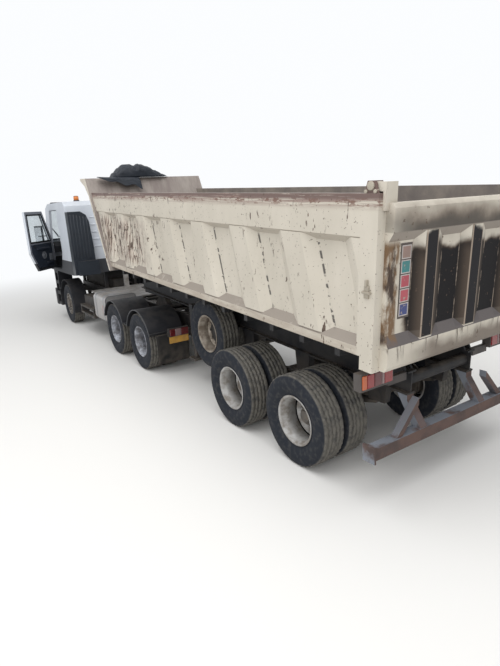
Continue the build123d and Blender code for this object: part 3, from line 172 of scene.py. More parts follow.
def mix(tree, share, first, second):
    """Blends two colours by a mask."""
    made = node(tree, "ShaderNodeMix", {"Factor": share, "A": first, "B": second}, data_type="RGBA")
    return made.outputs["Result"]


# Blotches: noise cut at a level, for chips, dust and stains
blotches, spot_in, spot_out = group("blotches", (("Vector", None), ("Scale", 5.0), ("Cover", 0.5), ("Soft", 0.05),
                                                 ("Detail", 6.0)))
speckle = node(blotches, "ShaderNodeTexNoise", {"Vector": spot_in.outputs["Vector"], "Scale": spot_in.outputs["Scale"],
                                                "Detail": spot_in.outputs["Detail"], "Roughness": 0.62})
edge_at = node(blotches, "ShaderNodeMapRange", {"Value": spot_in.outputs["Cover"], "To Min": 0.78, "To Max": 0.22})
low_at = maths(blotches, "SUBTRACT", edge_at.outputs[0], spot_in.outputs["Soft"])
high_at = maths(blotches, "ADD", edge_at.outputs[0], spot_in.outputs["Soft"])
cut_noise = node(blotches, "ShaderNodeMapRange", {"Value": speckle.outputs["Fac"], "From Min": low_at,
                                                  "From Max": high_at}, interpolation_type="SMOOTHSTEP")
blotches.links.new(cut_noise.outputs[0], spot_out.inputs["Mask"])


def finish(name, rough=0.5, metal=0.0):
    """A new material: its tree, shader and object coordinates."""
    made = bpy.data.materials.new(name)
    made.use_nodes = True
    tree = made.node_tree
    shader = tree.nodes["Principled BSDF"]
    shader.inputs["Roughness"].default_value = rough
    shader.inputs["Metallic"].default_value = metal
    place = node(tree, "ShaderNodeTexCoord").outputs
    return made, tree, shader, place


def use(tree, which, **values):
    """Places an effect group and returns its mask."""
    return node(tree, "ShaderNodeGroup", values, node_tree=which).outputs["Mask"]


def spots(tree, at, scale, cover, soft, detail=6.0):
    """A mask of blotches covering a share of the surface, with soft or hard edges."""
    return use(tree, blotches, Vector=at, Scale=scale, Cover=cover, Soft=soft, Detail=detail)


def coat(tree, shader, colour):
    """Gives the shader its base colour."""
    tree.links.new(colour, shader.inputs["Base Color"])


def bump(tree, shader, height, strength=0.3, distance=0.004):
    """Drives the shader's normal from a height."""
    made = node(tree, "ShaderNodeBump", {"Height": height, "Strength": strength, "Distance": distance})
    tree.links.new(made.outputs[0], shader.inputs["Normal"])


def stretched(tree, place, scale, location=(0, 0, 0), rotation=(0, 0, 0)):
    """Object coordinates, moved, turned and stretched by a Mapping node."""
    made = node(tree, "ShaderNodeMapping", {"Vector": place, "Location": location, "Rotation": rotation,
                                            "Scale": scale})
    return made.outputs[0]


# The bed stands nose-up on its frame; its own axes start at the tipping hinge
BED_NOSE_UP = math.radians(3.0)
MIDDLE_X = -0.185
REAR_FACE_Y = 6.124
HINGE_PLACE = (MIDDLE_X, REAR_FACE_Y - 0.300, 1.25)


def bed_axes(tree, place):
    """Separated coordinates in the bed's own axes: x left, y rearward, z up, from the hinge."""
    moved = node(tree, "ShaderNodeVectorMath", {0: place["Object"], 1: HINGE_PLACE}, operation="SUBTRACT")
    levelled = node(tree, "ShaderNodeVectorRotate", {"Vector": moved.outputs[0], "Angle": BED_NOSE_UP},
                    rotation_type="X_AXIS")
    return levelled.outputs[0], split(tree, levelled.outputs[0])


CREAM = (0.640, 0.592, 0.510, 1)
CREAM_SHADE = (0.520, 0.478, 0.405, 1)
RUST_DARK = (0.050, 0.032, 0.022, 1)
PINK_WORN = (0.420, 0.290, 0.240, 1)
LEDGE_DUST = (0.270, 0.235, 0.200, 1)
BARE_STEEL = (0.150, 0.130, 0.120, 1)

side_paint, tree, shader, place = finish("bed_side_paint", 0.62)
own, axes = bed_axes(tree, place)
x, y, z = axes["X"], axes["Y"], axes["Z"]
facing = split(tree, place["Normal"])
colour = mix(tree, spots(tree, own, 0.7, 0.5, 0.3, 3.0), CREAM, CREAM_SHADE)
grime = spots(tree, stretched(tree, own, (1, 1, 0.35)), 7.0, 0.42, 0.2, 7.0)
colour = mix(tree, times(tree, grime, 0.22), colour, (0.430, 0.400, 0.330, 1))
# Painted shade: faces that look down, under the top band and at the recesses' heads, are painted a darker grey
painted_underside_shade = times(tree, ramp(tree, facing["Z"], -0.15, -0.45), 0.55)
colour = mix(tree, painted_underside_shade, colour, (0.330, 0.290, 0.240, 1))
# Scraped bays at the nose: paint torn off in upright streaks, brown steel under a pink edge
forward = ramp(tree, y, -4.35, -5.15)
upper = times(tree, ramp(tree, z, 0.36, 0.58), ramp(tree, z, 1.31, 1.10))
torn_at = stretched(tree, own, (1.0, 15.0, 1.1), rotation=(0.10, 0, 0))
patchy = spots(tree, own, 1.25, 0.74, 0.16, 2.0)
torn_zone = times(tree, forward, upper, patchy)
halo = spots(tree, torn_at, 1.9, 0.50, 0.08, 9.0)
torn = spots(tree, torn_at, 1.9, 0.40, 0.05, 9.0)
colour = mix(tree, times(tree, halo, torn_zone, 0.55), colour, PINK_WORN)
scraped = times(tree, torn, torn_zone)
peppered = spots(tree, stretched(tree, own, (1, 1.5, 0.7)), 11.0, 0.36, 0.02, 5.0)
scraped = maths(tree, "MAXIMUM", scraped, times(tree, forward, upper, peppered))
# Flecks everywhere, in clusters, and a few long scratches
pits = spots(tree, stretched(tree, own, (1, 1, 0.6)), 15.0, 0.235, 0.02, 3.0)
some = spots(tree, own, 1.3, 0.36, 0.08, 2.0)
fine = spots(tree, own, 34.0, 0.165, 0.02, 2.0)
flecks = times(tree, pits, maths(tree, "MAXIMUM", some, times(tree, forward, 0.9)))
flecks = maths(tree, "MAXIMUM", flecks, times(tree, fine, 0.8))
scuffs = spots(tree, stretched(tree, own, (1, 3.6, 0.9), rotation=(-0.5, 0, 0)), 3.0, 0.150, 0.015, 5.0)
# Rust along the weld at the rear foot of each rib, in broken dashes
RIB_STEP = 0.99
RIB_LEAN = 0.31
along = maths(tree, "ADD", y, times(tree, z, RIB_LEAN))
along = maths(tree, "ADD", along, 0.51 - 1.295 * RIB_LEAN + 20 * RIB_STEP)
phase = maths(tree, "PINGPONG", maths(tree, "MODULO", along, RIB_STEP), RIB_STEP / 2)
seam = ramp(tree, phase, 0.019, 0.011)
broken = spots(tree, stretched(tree, own, (1, 1, 2.2)), 5.0, 0.50, 0.03, 2.0)
seam = times(tree, seam, broken, times(tree, ramp(tree, z, 0.40, 0.47), ramp(tree, z, 1.25, 1.20)))
# Dust on the sloping ledges at the recesses' feet, and a thinner coat on the rail below
ledge_face = times(tree, ramp(tree, facing["Z"], 0.12, 0.35), ramp(tree, z, 0.50, 0.46))
ledge_zone = times(tree, ledge_face, spots(tree, own, 4.0, 0.80, 0.10, 5.0))
rail_zone = times(tree, ramp(tree, z, 0.352, 0.335), spots(tree, stretched(tree, own, (1, 0.5, 3)), 5.0, 0.62, 0.25))
rail_zone = times(tree, rail_zone, ramp(tree, y, 0.14, 0.08))
colour = mix(tree, times(tree, rail_zone, 0.72), colour, (0.330, 0.270, 0.215, 1))
colour = mix(tree, ledge_zone, colour, LEDGE_DUST)
# The top rail is scraped along its length down to mauve primer and brown steel
lengthways = stretched(tree, own, (1.0, 0.55, 26.0))
top_runs = spots(tree, lengthways, 1.6, 0.54, 0.03, 9.0)
top_worn = times(tree, top_runs, ramp(tree, z, 1.500, 1.600))
chipped = spots(tree, stretched(tree, own, (1, 2.0, 6.0)), 6.0, 0.40, 0.03)
colour = mix(tree, top_worn, colour, (0.290, 0.215, 0.185, 1))
colour = mix(tree, times(tree, chipped, ramp(tree, z, 1.520, 1.590)), colour, (0.190, 0.110, 0.085, 1))
dark_runs = spots(tree, stretched(tree, own, (1, 0.8, 34.0), (0, 3, 1)), 1.7, 0.66, 0.06, 8.0)
colour = mix(tree, times(tree, dark_runs, ramp(tree, z, 1.580, 1.625)), colour, (0.150, 0.100, 0.088, 1))
marks = maths(tree, "MAXIMUM", maths(tree, "MAXIMUM", scraped, flecks), scuffs)
marks = times(tree, marks, maths(tree, "SUBTRACT", 1.0, ledge_zone))
tone = mix(tree, spots(tree, own, 14.0, 0.5, 0.2), RUST_DARK, (0.125, 0.083, 0.062, 1))
colour = mix(tree, marks, colour, tone)
colour = mix(tree, times(tree, seam, 0.9), colour, (0.045, 0.040, 0.038, 1))
inward = maths(tree, "LESS_THAN", times(tree, facing["X"], x), -0.3)
up_face = ramp(tree, facing["Z"], 0.7, 0.95)
bare = maths(tree, "MAXIMUM", inward, times(tree, up_face, maths(tree, "GREATER_THAN", z, 1.6)))
load_dust = mix(tree, spots(tree, own, 3.0, 0.5, 0.25), BARE_STEEL, LEDGE_DUST)
colour = mix(tree, bare, colour, load_dust)
coat(tree, shader, colour)
relief = maths(tree, "SUBTRACT", times(tree, spots(tree, own, 1.5, 0.5, 0.4, 2.0), 2.0), marks)
bump(tree, shader, relief, 0.35, 0.006)


def dress(name, material):
    """Gives a CAD node its material."""
    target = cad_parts[name]
    target.data.materials.clear()
    target.data.materials.append(material)


for name in ("bed_side_left", "bed_side_right"):
    dress(name, side_paint)

# Tailgate: folded steel skin with three upright ribs, hung from two pins on the corner posts.
# Soot from the exhaust has burnt its middle brown, and the paint survives on edges and at the left.
SOOT_BROWN = (0.105, 0.075, 0.055, 1)
SOOT_DEEP = (0.009, 0.008, 0.009, 1)
EDGE_LIGHT = (0.400, 0.325, 0.260, 1)

gate_paint, tree, shader, place = finish("gate_paint", 0.6)
own, axes = bed_axes(tree, place)
x, y, z = axes["X"], axes["Y"], axes["Z"]
facing = split(tree, place["Normal"])
colour = mix(tree, spots(tree, own, 2.2, 0.5, 0.3, 4.0), CREAM, CREAM_SHADE)
clouds = node(tree, "ShaderNodeTexNoise", {"Vector": own, "Scale": 2.6, "Detail": 5.0}).outputs["Fac"]
wave = times(tree, maths(tree, "SUBTRACT", clouds, 0.5), 0.30)
waved_x = maths(tree, "ADD", x, wave)
waved_z = maths(tree, "ADD", z, wave)
# Top band: cream above, smoked brown towards its lower edge and darkest in the middle
smoke = times(tree, ramp(tree, waved_z, 1.600, 1.430), ramp(tree, waved_x, 1.45, 0.85))
smoke = times(tree, smoke, ramp(tree, z, 1.340, 1.352))
# Panels between the ribs: black soot that leaves the top fold and the sheet beside the sign paler
panels = times(tree, ramp(tree, z, 0.455, 0.475), ramp(tree, waved_z, 1.270, 1.130))
panels = times(tree, panels, ramp(tree, waved_x, 0.98, 0.80))
# Low band: brown haze under the middle
low_band = times(tree, ramp(tree, z, 0.372, 0.360), ramp(tree, waved_z, 0.37, 0.25), ramp(tree, waved_x, 1.05, 0.45))
smoked = mix(tree, ramp(tree, waved_z, 1.50, 1.39), (0.185, 0.145, 0.115, 1), (0.042, 0.034, 0.030, 1))
colour = mix(tree, times(tree, smoke, 0.88), colour, smoked)
colour = mix(tree, times(tree, low_band, 0.80), colour, (0.130, 0.100, 0.082, 1))
fringe = ramp(tree, panels, 0.05, 0.75)
colour = mix(tree, fringe, colour, mix(tree, ramp(tree, panels, 0.35, 0.95), SOOT_BROWN, SOOT_DEEP))
# The ribs: near-black faces between light worn edges, and brown flanks
GATE_RIB_STEP = 0.65
off_rib = maths(tree, "ADD", x, 20 * GATE_RIB_STEP)
off_rib = maths(tree, "PINGPONG", off_rib, GATE_RIB_STEP / 2)
rib_span = times(tree, maths(tree, "LESS_THAN", maths(tree, "ABSOLUTE", x), 0.87),
                 times(tree, ramp(tree, z, 0.385, 0.400), ramp(tree, z, 1.350, 1.335)))
outer_face = times(tree, maths(tree, "GREATER_THAN", facing["Y"], 0.9), maths(tree, "LESS_THAN", off_rib, 0.085))
rib_face = times(tree, outer_face, rib_span)
colour = mix(tree, times(tree, rib_face, ramp(tree, waved_z, 1.36, 1.31)), colour, (0.017, 0.016, 0.018, 1))
flank = times(tree, ramp(tree, off_rib, 0.073, 0.080), ramp(tree, off_rib, 0.202, 0.192), rib_span)
flank_tone = mix(tree, ramp(tree, off_rib, 0.08, 0.20), (0.085, 0.064, 0.050, 1), (0.022, 0.018, 0.016, 1))
flank_height = maths(tree, "SUBTRACT", waved_z, times(tree, off_rib, 0.8))
flank_dark = times(tree, flank, ramp(tree, flank_height, 1.20, 0.95))
colour = mix(tree, times(tree, flank_dark, 0.94), colour, flank_tone)
edge_line = times(tree, ramp(tree, off_rib, 0.064, 0.070), ramp(tree, off_rib, 0.086, 0.078))
foot_line = times(tree, ramp(tree, off_rib, 0.191, 0.195), ramp(tree, off_rib, 0.206, 0.201))
patchy = spots(tree, stretched(tree, own, (1, 1, 1.5)), 5.0, 0.45, 0.10, 3.0)
foot_line = times(tree, foot_line, patchy)
worn_edge = times(tree, maths(tree, "MAXIMUM", edge_line, times(tree, foot_line, 0.9)), rib_span)
colour = mix(tree, times(tree, worn_edge, 0.8), colour, EDGE_LIGHT)
# The sloping ledge keeps a flat grey film of dust, the fold above the panels a paler one
ledge = times(tree, ramp(tree, facing["Z"], 0.20, 0.32), ramp(tree, z, 0.50, 0.48))
colour = mix(tree, times(tree, ledge, 0.97), colour, (0.120, 0.107, 0.107, 1))
fold = times(tree, ramp(tree, facing["Z"], -0.20, -0.35), ramp(tree, z, 1.24, 1.26))
colour = mix(tree, times(tree, fold, 0.85), colour, (0.270, 0.235, 0.205, 1))
chips = spots(tree, own, 16.0, 0.20, 0.02, 4.0)
colour = mix(tree, times(tree, chips, 0.7), colour, (0.100, 0.070, 0.052, 1))
drips = spots(tree, stretched(tree, own, (14.0, 1.0, 1.2)), 1.3, 0.34, 0.06)
drip_zone = times(tree, ramp(tree, z, 0.20, 0.34), ramp(tree, z, 0.378, 0.368))
colour = mix(tree, times(tree, drips, drip_zone), colour, (0.060, 0.045, 0.036, 1))
# Crumpled outer strip: rust and torn paint
crumpled = ramp(tree, maths(tree, "ADD", x, times(tree, wave, 0.3)), 1.000, 1.035)
crumpled = times(tree, crumpled, ramp(tree, z, 1.30, 1.22), ramp(tree, z, 0.36, 0.44))
ripped = spots(tree, stretched(tree, own, (2.0, 1, 0.8)), 4.2, 0.62, 0.08, 7.0)
colour = mix(tree, times(tree, crumpled, ripped), colour, (0.190, 0.120, 0.070, 1))
dark_rips = spots(tree, stretched(tree, own, (2.0, 1, 0.6)), 5.0, 0.38, 0.05, 7.0)
colour = mix(tree, times(tree, crumpled, dark_rips), colour, (0.070, 0.050, 0.040, 1))
inward = maths(tree, "LESS_THAN", facing["Y"], -0.5)
colour = mix(tree, inward, colour, BARE_STEEL)
coat(tree, shader, colour)
bump(tree, shader, maths(tree, "SUBTRACT", clouds, chips), 0.3, 0.006)
shader.inputs["Specular IOR Level"].default_value = 0.15
dress("tailgate", gate_paint)

# Headboard and floor: the front wall slopes with the load and folds forward into a lip.
# Its inside is scoured grey sheet, its outer flanges still cream.
RUST_BROWN = (0.150, 0.085, 0.055, 1)
head_paint, tree, shader, place = finish("headboard_paint", 0.66)
own, axes = bed_axes(tree, place)
facing = split(tree, place["Normal"])
scoured = mix(tree, spots(tree, stretched(tree, own, (3.0, 1, 0.8)), 2.0, 0.5, 0.2), (0.300, 0.265, 0.235, 1),
              (0.200, 0.165, 0.150, 1))
colour = mix(tree, spots(tree, own, 6.0, 0.30, 0.05), CREAM, RUST_BROWN)
rearward = maths(tree, "GREATER_THAN", facing["Y"], 0.3)
topside = maths(tree, "GREATER_THAN", facing["Z"], 0.6)
colour = mix(tree, maths(tree, "MAXIMUM", rearward, topside), colour, scoured)
coat(tree, shader, colour)
bump(tree, shader, spots(tree, own, 8.0, 0.5, 0.3), 0.25, 0.004)
dress("headboard", head_paint)

floor_steel, tree, shader, place = finish("floor_steel", 0.58, 0.35)
own, axes = bed_axes(tree, place)
worn = mix(tree, spots(tree, stretched(tree, own, (4.0, 0.5, 1)), 1.5, 0.5, 0.25), (0.190, 0.165, 0.145, 1),
           LEDGE_DUST)
underneath = maths(tree, "LESS_THAN", axes["Z"], 0.24)
coat(tree, shader, mix(tree, underneath, worn, (0.030, 0.030, 0.032, 1)))
bump(tree, shader, spots(tree, own, 5.0, 0.5, 0.3), 0.25, 0.004)
dress("bed_floor", floor_steel)

# Wheels: steel rims with a deep dish, carrying radial tyres with zigzag grooves and notched shoulders.
# Road dust lies on the tread and in the dish; the sidewalls are scuffed black.
TYRE_R = 0.525

rubber, tree, shader, place = finish("tyre_rubber", 0.78)
across = node(tree, "ShaderNodeUVMap", uv_map="around")
width_at = split(tree, across.outputs["UV"])["Y"]
tread_zone = times(tree, ramp(tree, width_at, 0.235, 0.275), ramp(tree, width_at, 0.765, 0.725))
grit = node(tree, "ShaderNodeTexNoise", {"Vector": place["Object"], "Scale": 16.0, "Detail": 6.0})
caked = times(tree, tread_zone, maths(tree, "MULTIPLY_ADD", ramp(tree, grit.outputs["Fac"], 0.30, 0.62), 0.55))
side_dust = times(tree, ramp(tree, grit.outputs["Fac"], 0.45, 0.75), 0.22)
colour = mix(tree, maths(tree, "MAXIMUM", caked, side_dust), (0.017, 0.020, 0.027, 1), (0.142, 0.133, 0.117, 1))
coat(tree, shader, colour)
bump(tree, shader, grit.outputs["Fac"], 0.15, 0.003)
shader.inputs["Specular IOR Level"].default_value = 0.2


def rim_finish(name, paint, dirt, cover):
    """Painted rim steel with brake dust and road dirt."""
    made, tree, shader, place = finish(name, 0.42, 0.35)
    stained = spots(tree, place["Object"], 9.0, cover, 0.18)
    coat(tree, shader, mix(tree, stained, paint, dirt))
    tree.links.new(maths(tree, "MULTIPLY_ADD", stained, 0.3), shader.inputs["Roughness"])
    bump(tree, shader, stained, 0.2, 0.002)
    return made


rim_silver = rim_finish("rim_silver", (0.410, 0.405, 0.395, 1), (0.230, 0.205, 0.180, 1), 0.45)
rim_bright = rim_finish("rim_bright", (0.420, 0.440, 0.490, 1), (0.130, 0.128, 0.135, 1), 0.50)
rim_dusty = rim_finish("rim_dusty", (0.300, 0.290, 0.280, 1), (0.150, 0.130, 0.110, 1), 0.55)
rim_beige = rim_finish("rim_beige", (0.330, 0.292, 0.245, 1), (0.165, 0.130, 0.100, 1), 0.50)
hub_iron = rim_finish("hub_iron", (0.090, 0.085, 0.080, 1), (0.180, 0.150, 0.120, 1), 0.5)


def skin(bm, rows, closed=False, capped=False):
    """Joins rows of points into a sheet; closed joins each row's ends, capped fills the end rows."""
    for low, high in zip(rows, rows[1:]):
        for k in range(len(low) if closed else len(low) - 1):
            n = (k + 1) % len(low)
            bm.faces.new((low[k], low[n], high[n], high[k]))
    if capped:
        bm.faces.new(rows[0])
        bm.faces.new(rows[-1])


def lathe(bm, profile, centre, steps, hand=1, closed=False):
    """Turns (x, radius) points about the axle through centre; x runs outward."""
    rings = []
    for px, pr in profile:
        ring = []
        for i in range(steps):
            angle = 2 * math.pi * i / steps
            ring.append(bm.verts.new((centre[0] + hand * px, centre[1] + pr * math.cos(angle),
                                      centre[2] + pr * math.sin(angle))))
        rings.append(ring)
    skin(bm, rings + rings[:1] if closed else rings, closed=True)


def solid(name, bm, material, body, smooth=True):
    """Turns a bmesh into a piece at the origin, faces outward, riding on a body."""
    bmesh.ops.recalc_face_normals(bm, faces=bm.faces)
    mesh = bpy.data.meshes.new(name)
    bm.to_mesh(mesh)
    bm.free()
    mesh.materials.append(material)
    if smooth:
        mesh.shade_smooth()
    piece = bpy.data.objects.new(name, mesh)
    bpy.context.scene.collection.objects.link(piece)
    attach(piece, body)
    return piece


TYRE_STEPS = 192
ZIG_STEPS = 4
GROOVES = (-0.078, -0.028, 0.028, 0.078)
GROOVE_W = 0.011
GROOVE_D = 0.012
TREAD_HALF = 0.125
TREAD_CROWN = 0.004
ZIG_SWAY = 0.0065
NOTCH_D = 0.010


def tyre(bm, centre, hand):
    """One tyre: inner bead, sidewall, shoulder, grooved tread and back; v runs across it."""
    layer = bm.loops.layers.uv.new("around")
    wall = [(0.096, 0.262), (0.112, 0.268), (0.118, 0.285), (0.112, 0.300), (0.128, 0.325), (0.143, 0.365),
            (0.150, 0.410), (0.150, 0.445), (0.146, 0.470), (0.139, 0.497), (0.133, 0.513)]
    columns = [(-px, pr, 0.0, 0) for px, pr in wall] + [(-TREAD_HALF, TYRE_R - 0.001, 0.0, 1)]
    for at in GROOVES:
        for dx, depth in ((-GROOVE_W, 0.0), (-GROOVE_W * 0.55, GROOVE_D), (GROOVE_W * 0.55, GROOVE_D),
                          (GROOVE_W, 0.0)):
            columns.append((at + dx, TYRE_R - depth, 1.0, 0))
    columns += [(TREAD_HALF, TYRE_R - 0.001, 0.0, 1)] + [(px, pr, 0.0, 0) for px, pr in reversed(wall)]
    grid = []
    for i in range(TYRE_STEPS):
        angle = 2 * math.pi * i / TYRE_STEPS
        zig = (0.0, 1.0, 0.0, -1.0)[i % ZIG_STEPS] * ZIG_SWAY
        row = []
        for px, pr, sway, shoulder in columns:
            r = pr - (NOTCH_D if shoulder and i % 4 in (0, 1) else 0.0)
            crown = TREAD_CROWN * (px / TREAD_HALF) ** 2 if abs(px) < TREAD_HALF else 0.0
            r -= crown if sway else 0.0
            row.append(bm.verts.new((centre[0] + hand * (px + sway * zig), centre[1] + r * math.cos(angle),
                                     centre[2] + r * math.sin(angle))))
        grid.append(row)
    last = len(columns) - 1
    for i in range(TYRE_STEPS):
        k = (i + 1) % TYRE_STEPS
        for j in range(last):
            face = bm.faces.new((grid[i][j], grid[k][j], grid[k][j + 1], grid[i][j + 1]))
            for loop, (a, b) in zip(face.loops, ((0, 0), (1, 0), (1, 1), (0, 1))):
                loop[layer].uv = ((i + a) / TYRE_STEPS, (j + b) / last)
        bm.faces.new((grid[i][last], grid[k][last], grid[k][0], grid[i][0]))


# Section of a drop-centre rim, (x, radius) from its outer lip to its inner lip and back along its underside
RIM_SECTION = [(0.116, 0.290), (0.121, 0.292), (0.124, 0.288), (0.121, 0.272), (0.108, 0.262), (0.070, 0.258),
               (0.060, 0.248), (-0.035, 0.244), (-0.050, 0.256), (-0.104, 0.262), (-0.118, 0.272),
               (-0.120, 0.288), (-0.112, 0.291)]
RIM_WALL = 0.010
RIM_SECTION += [(px, pr + RIM_WALL) for px, pr in reversed(RIM_SECTION[3:-2])]


def tyre_on_rim(name, at, hand, rim_hand, steel, body):
    """A tyre and its rim as two pieces; returns the rim."""
    bm = bmesh.new()
    tyre(bm, at, hand)
    solid(f"{name}_tyre", bm, rubber, body)
    bm = bmesh.new()
    lathe(bm, RIM_SECTION, at, 72, rim_hand, closed=True)
    return solid(f"{name}_rim", bm, steel, body)


DISC_HOLES = 10
DISC_HOLE_R = 0.027
DISC_THICK = 0.014
DISC_BORE = 0.090


def holed_disc(name, centre, hand, inner, outer, dish, steel, body):
    """A dished disc with a ring of round holes; dish(r) gives its outer face's x."""
    bm = bmesh.new()
    arc = 2 * math.pi / DISC_HOLES
    mid = (inner + outer) / 2
    square = []
    for a0, r0, a1, r1 in ((-0.5, inner, 0.5, inner), (0.5, inner, 0.5, outer), (0.5, outer, -0.5, outer),
                           (-0.5, outer, -0.5, inner)):
        square += [(a0 + (a1 - a0) * t, r0 + (r1 - r0) * t) for t in (0.0, 0.25, 0.5, 0.75)]

    def put(angle, r, back):
        return bm.verts.new((centre[0] + hand * (dish(r) - back), centre[1] + r * math.cos(angle),
                             centre[2] + r * math.sin(angle)))

    for h in range(DISC_HOLES):
        base = h * arc
        for back in (0.0, DISC_THICK):
            sector = [put(base + a * arc, r, back) for a, r in square]
            hole = []
            for a, r in square:
                direction = math.atan2(r - mid, a * arc * mid)
                u = DISC_HOLE_R * math.cos(direction) / mid
                hole.append(put(base + u, mid + DISC_HOLE_R * math.sin(direction), back))
            skin(bm, [sector, hole], closed=True)
            if back:
                skin(bm, [front_hole, hole], closed=True)
            front_hole = hole
    solid(name, bm, steel, body)


def generator(name, sizes, build):
    """A Geometry Nodes tree with named size inputs; build joins its nodes and returns the last geometry."""
    tree = bpy.data.node_groups.new(name, "GeometryNodeTree")
    tree.interface.new_socket(name="Geometry", in_out="OUTPUT", socket_type="NodeSocketGeometry")
    for label, kind in sizes:
        tree.interface.new_socket(name=label, in_out="INPUT", socket_type=f"NodeSocket{kind}")
    tree.interface.new_socket(name="Finish", in_out="INPUT", socket_type="NodeSocketMaterial")
    given = tree.nodes.new("NodeGroupInput")
    placed = node(tree, "GeometryNodeRealizeInstances", {0: build(tree, given.outputs)})
    dressed = node(tree, "GeometryNodeSetMaterial", {"Geometry": placed.outputs[0],
                                                     "Material": given.outputs["Finish"]})
    node(tree, "NodeGroupOutput", {0: dressed.outputs[0]})
    return tree


def generated(name, tree, body, **values):
    """Runs a generator once and keeps its plain mesh as a piece on a body."""
    piece = bpy.data.objects.new(name, bpy.data.meshes.new(name))
    bpy.context.scene.collection.objects.link(piece)
    modifier = piece.modifiers.new("generator", "NODES")
    modifier.node_group = tree
    for item in tree.interface.items_tree:
        if item.in_out == "INPUT":
            modifier[item.identifier] = values[item.name.replace(" ", "_")]
    evaluated = piece.evaluated_get(bpy.context.evaluated_depsgraph_get())
    mesh = bpy.data.meshes.new_from_object(evaluated)
    piece.modifiers.clear()
    piece.data = mesh
    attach(piece, body)
    return piece


def nut_circle(tree, given):
    """Six-sided nuts on a circle in the wheel's plane."""
    ring = node(tree, "GeometryNodeMeshCircle", {"Vertices": given["Count"], "Radius": given["Ring Radius"]})
    nut = node(tree, "GeometryNodeMeshCylinder", {"Vertices": 6, "Radius": given["Nut Radius"],
                                                  "Depth": given["Nut Height"]})
    spread = node(tree, "GeometryNodeInstanceOnPoints", {"Points": ring.outputs[0], "Instance": nut.outputs[0]})
    upright = node(tree, "GeometryNodeTransform", {"Geometry": spread.outputs[0], "Translation": given["Middle"],
                                                   "Rotation": (0.0, math.pi / 2, 0.0)})
    return upright.outputs[0]


nut_ring = generator("nut_ring", (("Count", "Int"), ("Ring Radius", "Float"), ("Nut Radius", "Float"),
                                  ("Nut Height", "Float"), ("Middle", "Vector")), nut_circle)
NUT_COUNT = 10
NUT_RING_R = 0.165
NUT_R = 0.017


def nuts(name, body, centre, hand, base_x, height):
    """A wheel's nuts, standing on its disc."""
    generated(name, nut_ring, body, Count=NUT_COUNT, Ring_Radius=NUT_RING_R, Nut_Radius=NUT_R, Nut_Height=height,
              Middle=(centre[0] + hand * (base_x + height / 2), centre[1], centre[2]), Finish=hub_iron)


OUTER_WHEEL = 1.100
INNER_WHEEL = 0.755
PAIR_MIDDLE = (OUTER_WHEEL + INNER_WHEEL) / 2
HUB_FACE_R = 0.200
DRIVE_AXLES = (-5.700, -7.070)
TRAILER_AXLES = (-1.140, -2.480)


def dual_dish(r):
    """Outer face of the outer disc: flat at the hub, dished out to its rim."""
    return PAIR_MIDDLE + 0.016 + max(0.0, r - HUB_FACE_R) * 0.95


def inner_dish(r):
    """Outer face of the inner disc, which lies against the outer one at the hub."""
    return PAIR_MIDDLE - max(0.0, r - HUB_FACE_R) * 0.95


def wheel_pair(name, axle_y, hand, steel):
    """Twin wheels for the node called name: two tyres, two rims, discs back to back, hub and nuts."""
    centre = (MIDDLE_X, axle_y, TYRE_R)
    for label, at, way in (("outer", OUTER_WHEEL, hand), ("inner", INNER_WHEEL, -hand)):
        rim = tyre_on_rim(f"{name}_{label}", (MIDDLE_X + hand * at, axle_y, TYRE_R), hand, way, steel, name)
        if label == "outer":
            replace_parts(rim, name)
    holed_disc(f"{name}_outer_disc", centre, hand, DISC_BORE, 0.245, dual_dish, steel, name)
    holed_disc(f"{name}_inner_disc", centre, hand, DISC_BORE, 0.245, inner_dish, steel, name)
    bm = bmesh.new()
    lathe(bm, [(PAIR_MIDDLE + 0.012, 0.108), (1.030, 0.104), (1.045, 0.098), (1.050, 0.075), (1.074, 0.070),
               (1.079, 0.060), (1.080, 0.0005)], centre, 40, hand)
    lathe(bm, [(PAIR_MIDDLE - 0.030, 0.0), (PAIR_MIDDLE - 0.030, 0.190), (0.675, 0.196), (0.655, 0.200),
               (0.648, 0.196), (0.646, 0.052)], centre, 40, hand)
    solid(f"{name}_hub", bm, hub_iron, name, smooth=False)
    nuts(f"{name}_nuts", name, centre, hand, PAIR_MIDDLE + 0.016, 0.034)


SIDES = (("left", 1), ("right", -1))
for kind, steel, axles in (("drive", rim_bright, DRIVE_AXLES), ("trailer", rim_silver, TRAILER_AXLES)):
    for end, axle in zip(("rear", "front"), axles):
        for word, hand in SIDES:
            wheel_pair(f"{kind}_wheel_{end}_{word}", REAR_FACE_Y + axle, hand, steel)

STEER_WHEEL = 1.040
STEER_AXLE_Y = REAR_FACE_Y - 11.070


def steer_dish(r):
    """Front wheels' disc, bulging outward."""
    return STEER_WHEEL + 0.121 - max(0.0, r - HUB_FACE_R) * 0.75


for word, hand in SIDES:
    label = f"steer_wheel_{word}"
    centre = (MIDDLE_X, STEER_AXLE_Y, TYRE_R)
    wheel_at = (MIDDLE_X + hand * STEER_WHEEL, STEER_AXLE_Y, TYRE_R)
    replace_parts(tyre_on_rim(label, wheel_at, hand, -hand, rim_dusty, label), label)
    holed_disc(f"{label}_disc", centre, hand, DISC_BORE, 0.246, steer_dish, rim_dusty, label)
    bm = bmesh.new()
    lathe(bm, [(STEER_WHEEL + 0.100, 0.108), (STEER_WHEEL + 0.145, 0.104), (STEER_WHEEL + 0.155, 0.080),
               (STEER_WHEEL + 0.160, 0.060), (STEER_WHEEL + 0.160, 0.0005)], centre, 40, hand)
    lathe(bm, [(STEER_WHEEL + 0.060, 0.0), (STEER_WHEEL + 0.060, 0.190), (0.925, 0.196), (0.905, 0.200),
               (0.901, 0.196), (0.900, 0.052)], centre, 40, hand)
    solid(f"{label}_hub", bm, hub_iron, label, smooth=False)
    nuts(f"{label}_nuts", label, centre, hand, STEER_WHEEL + 0.120, 0.030)

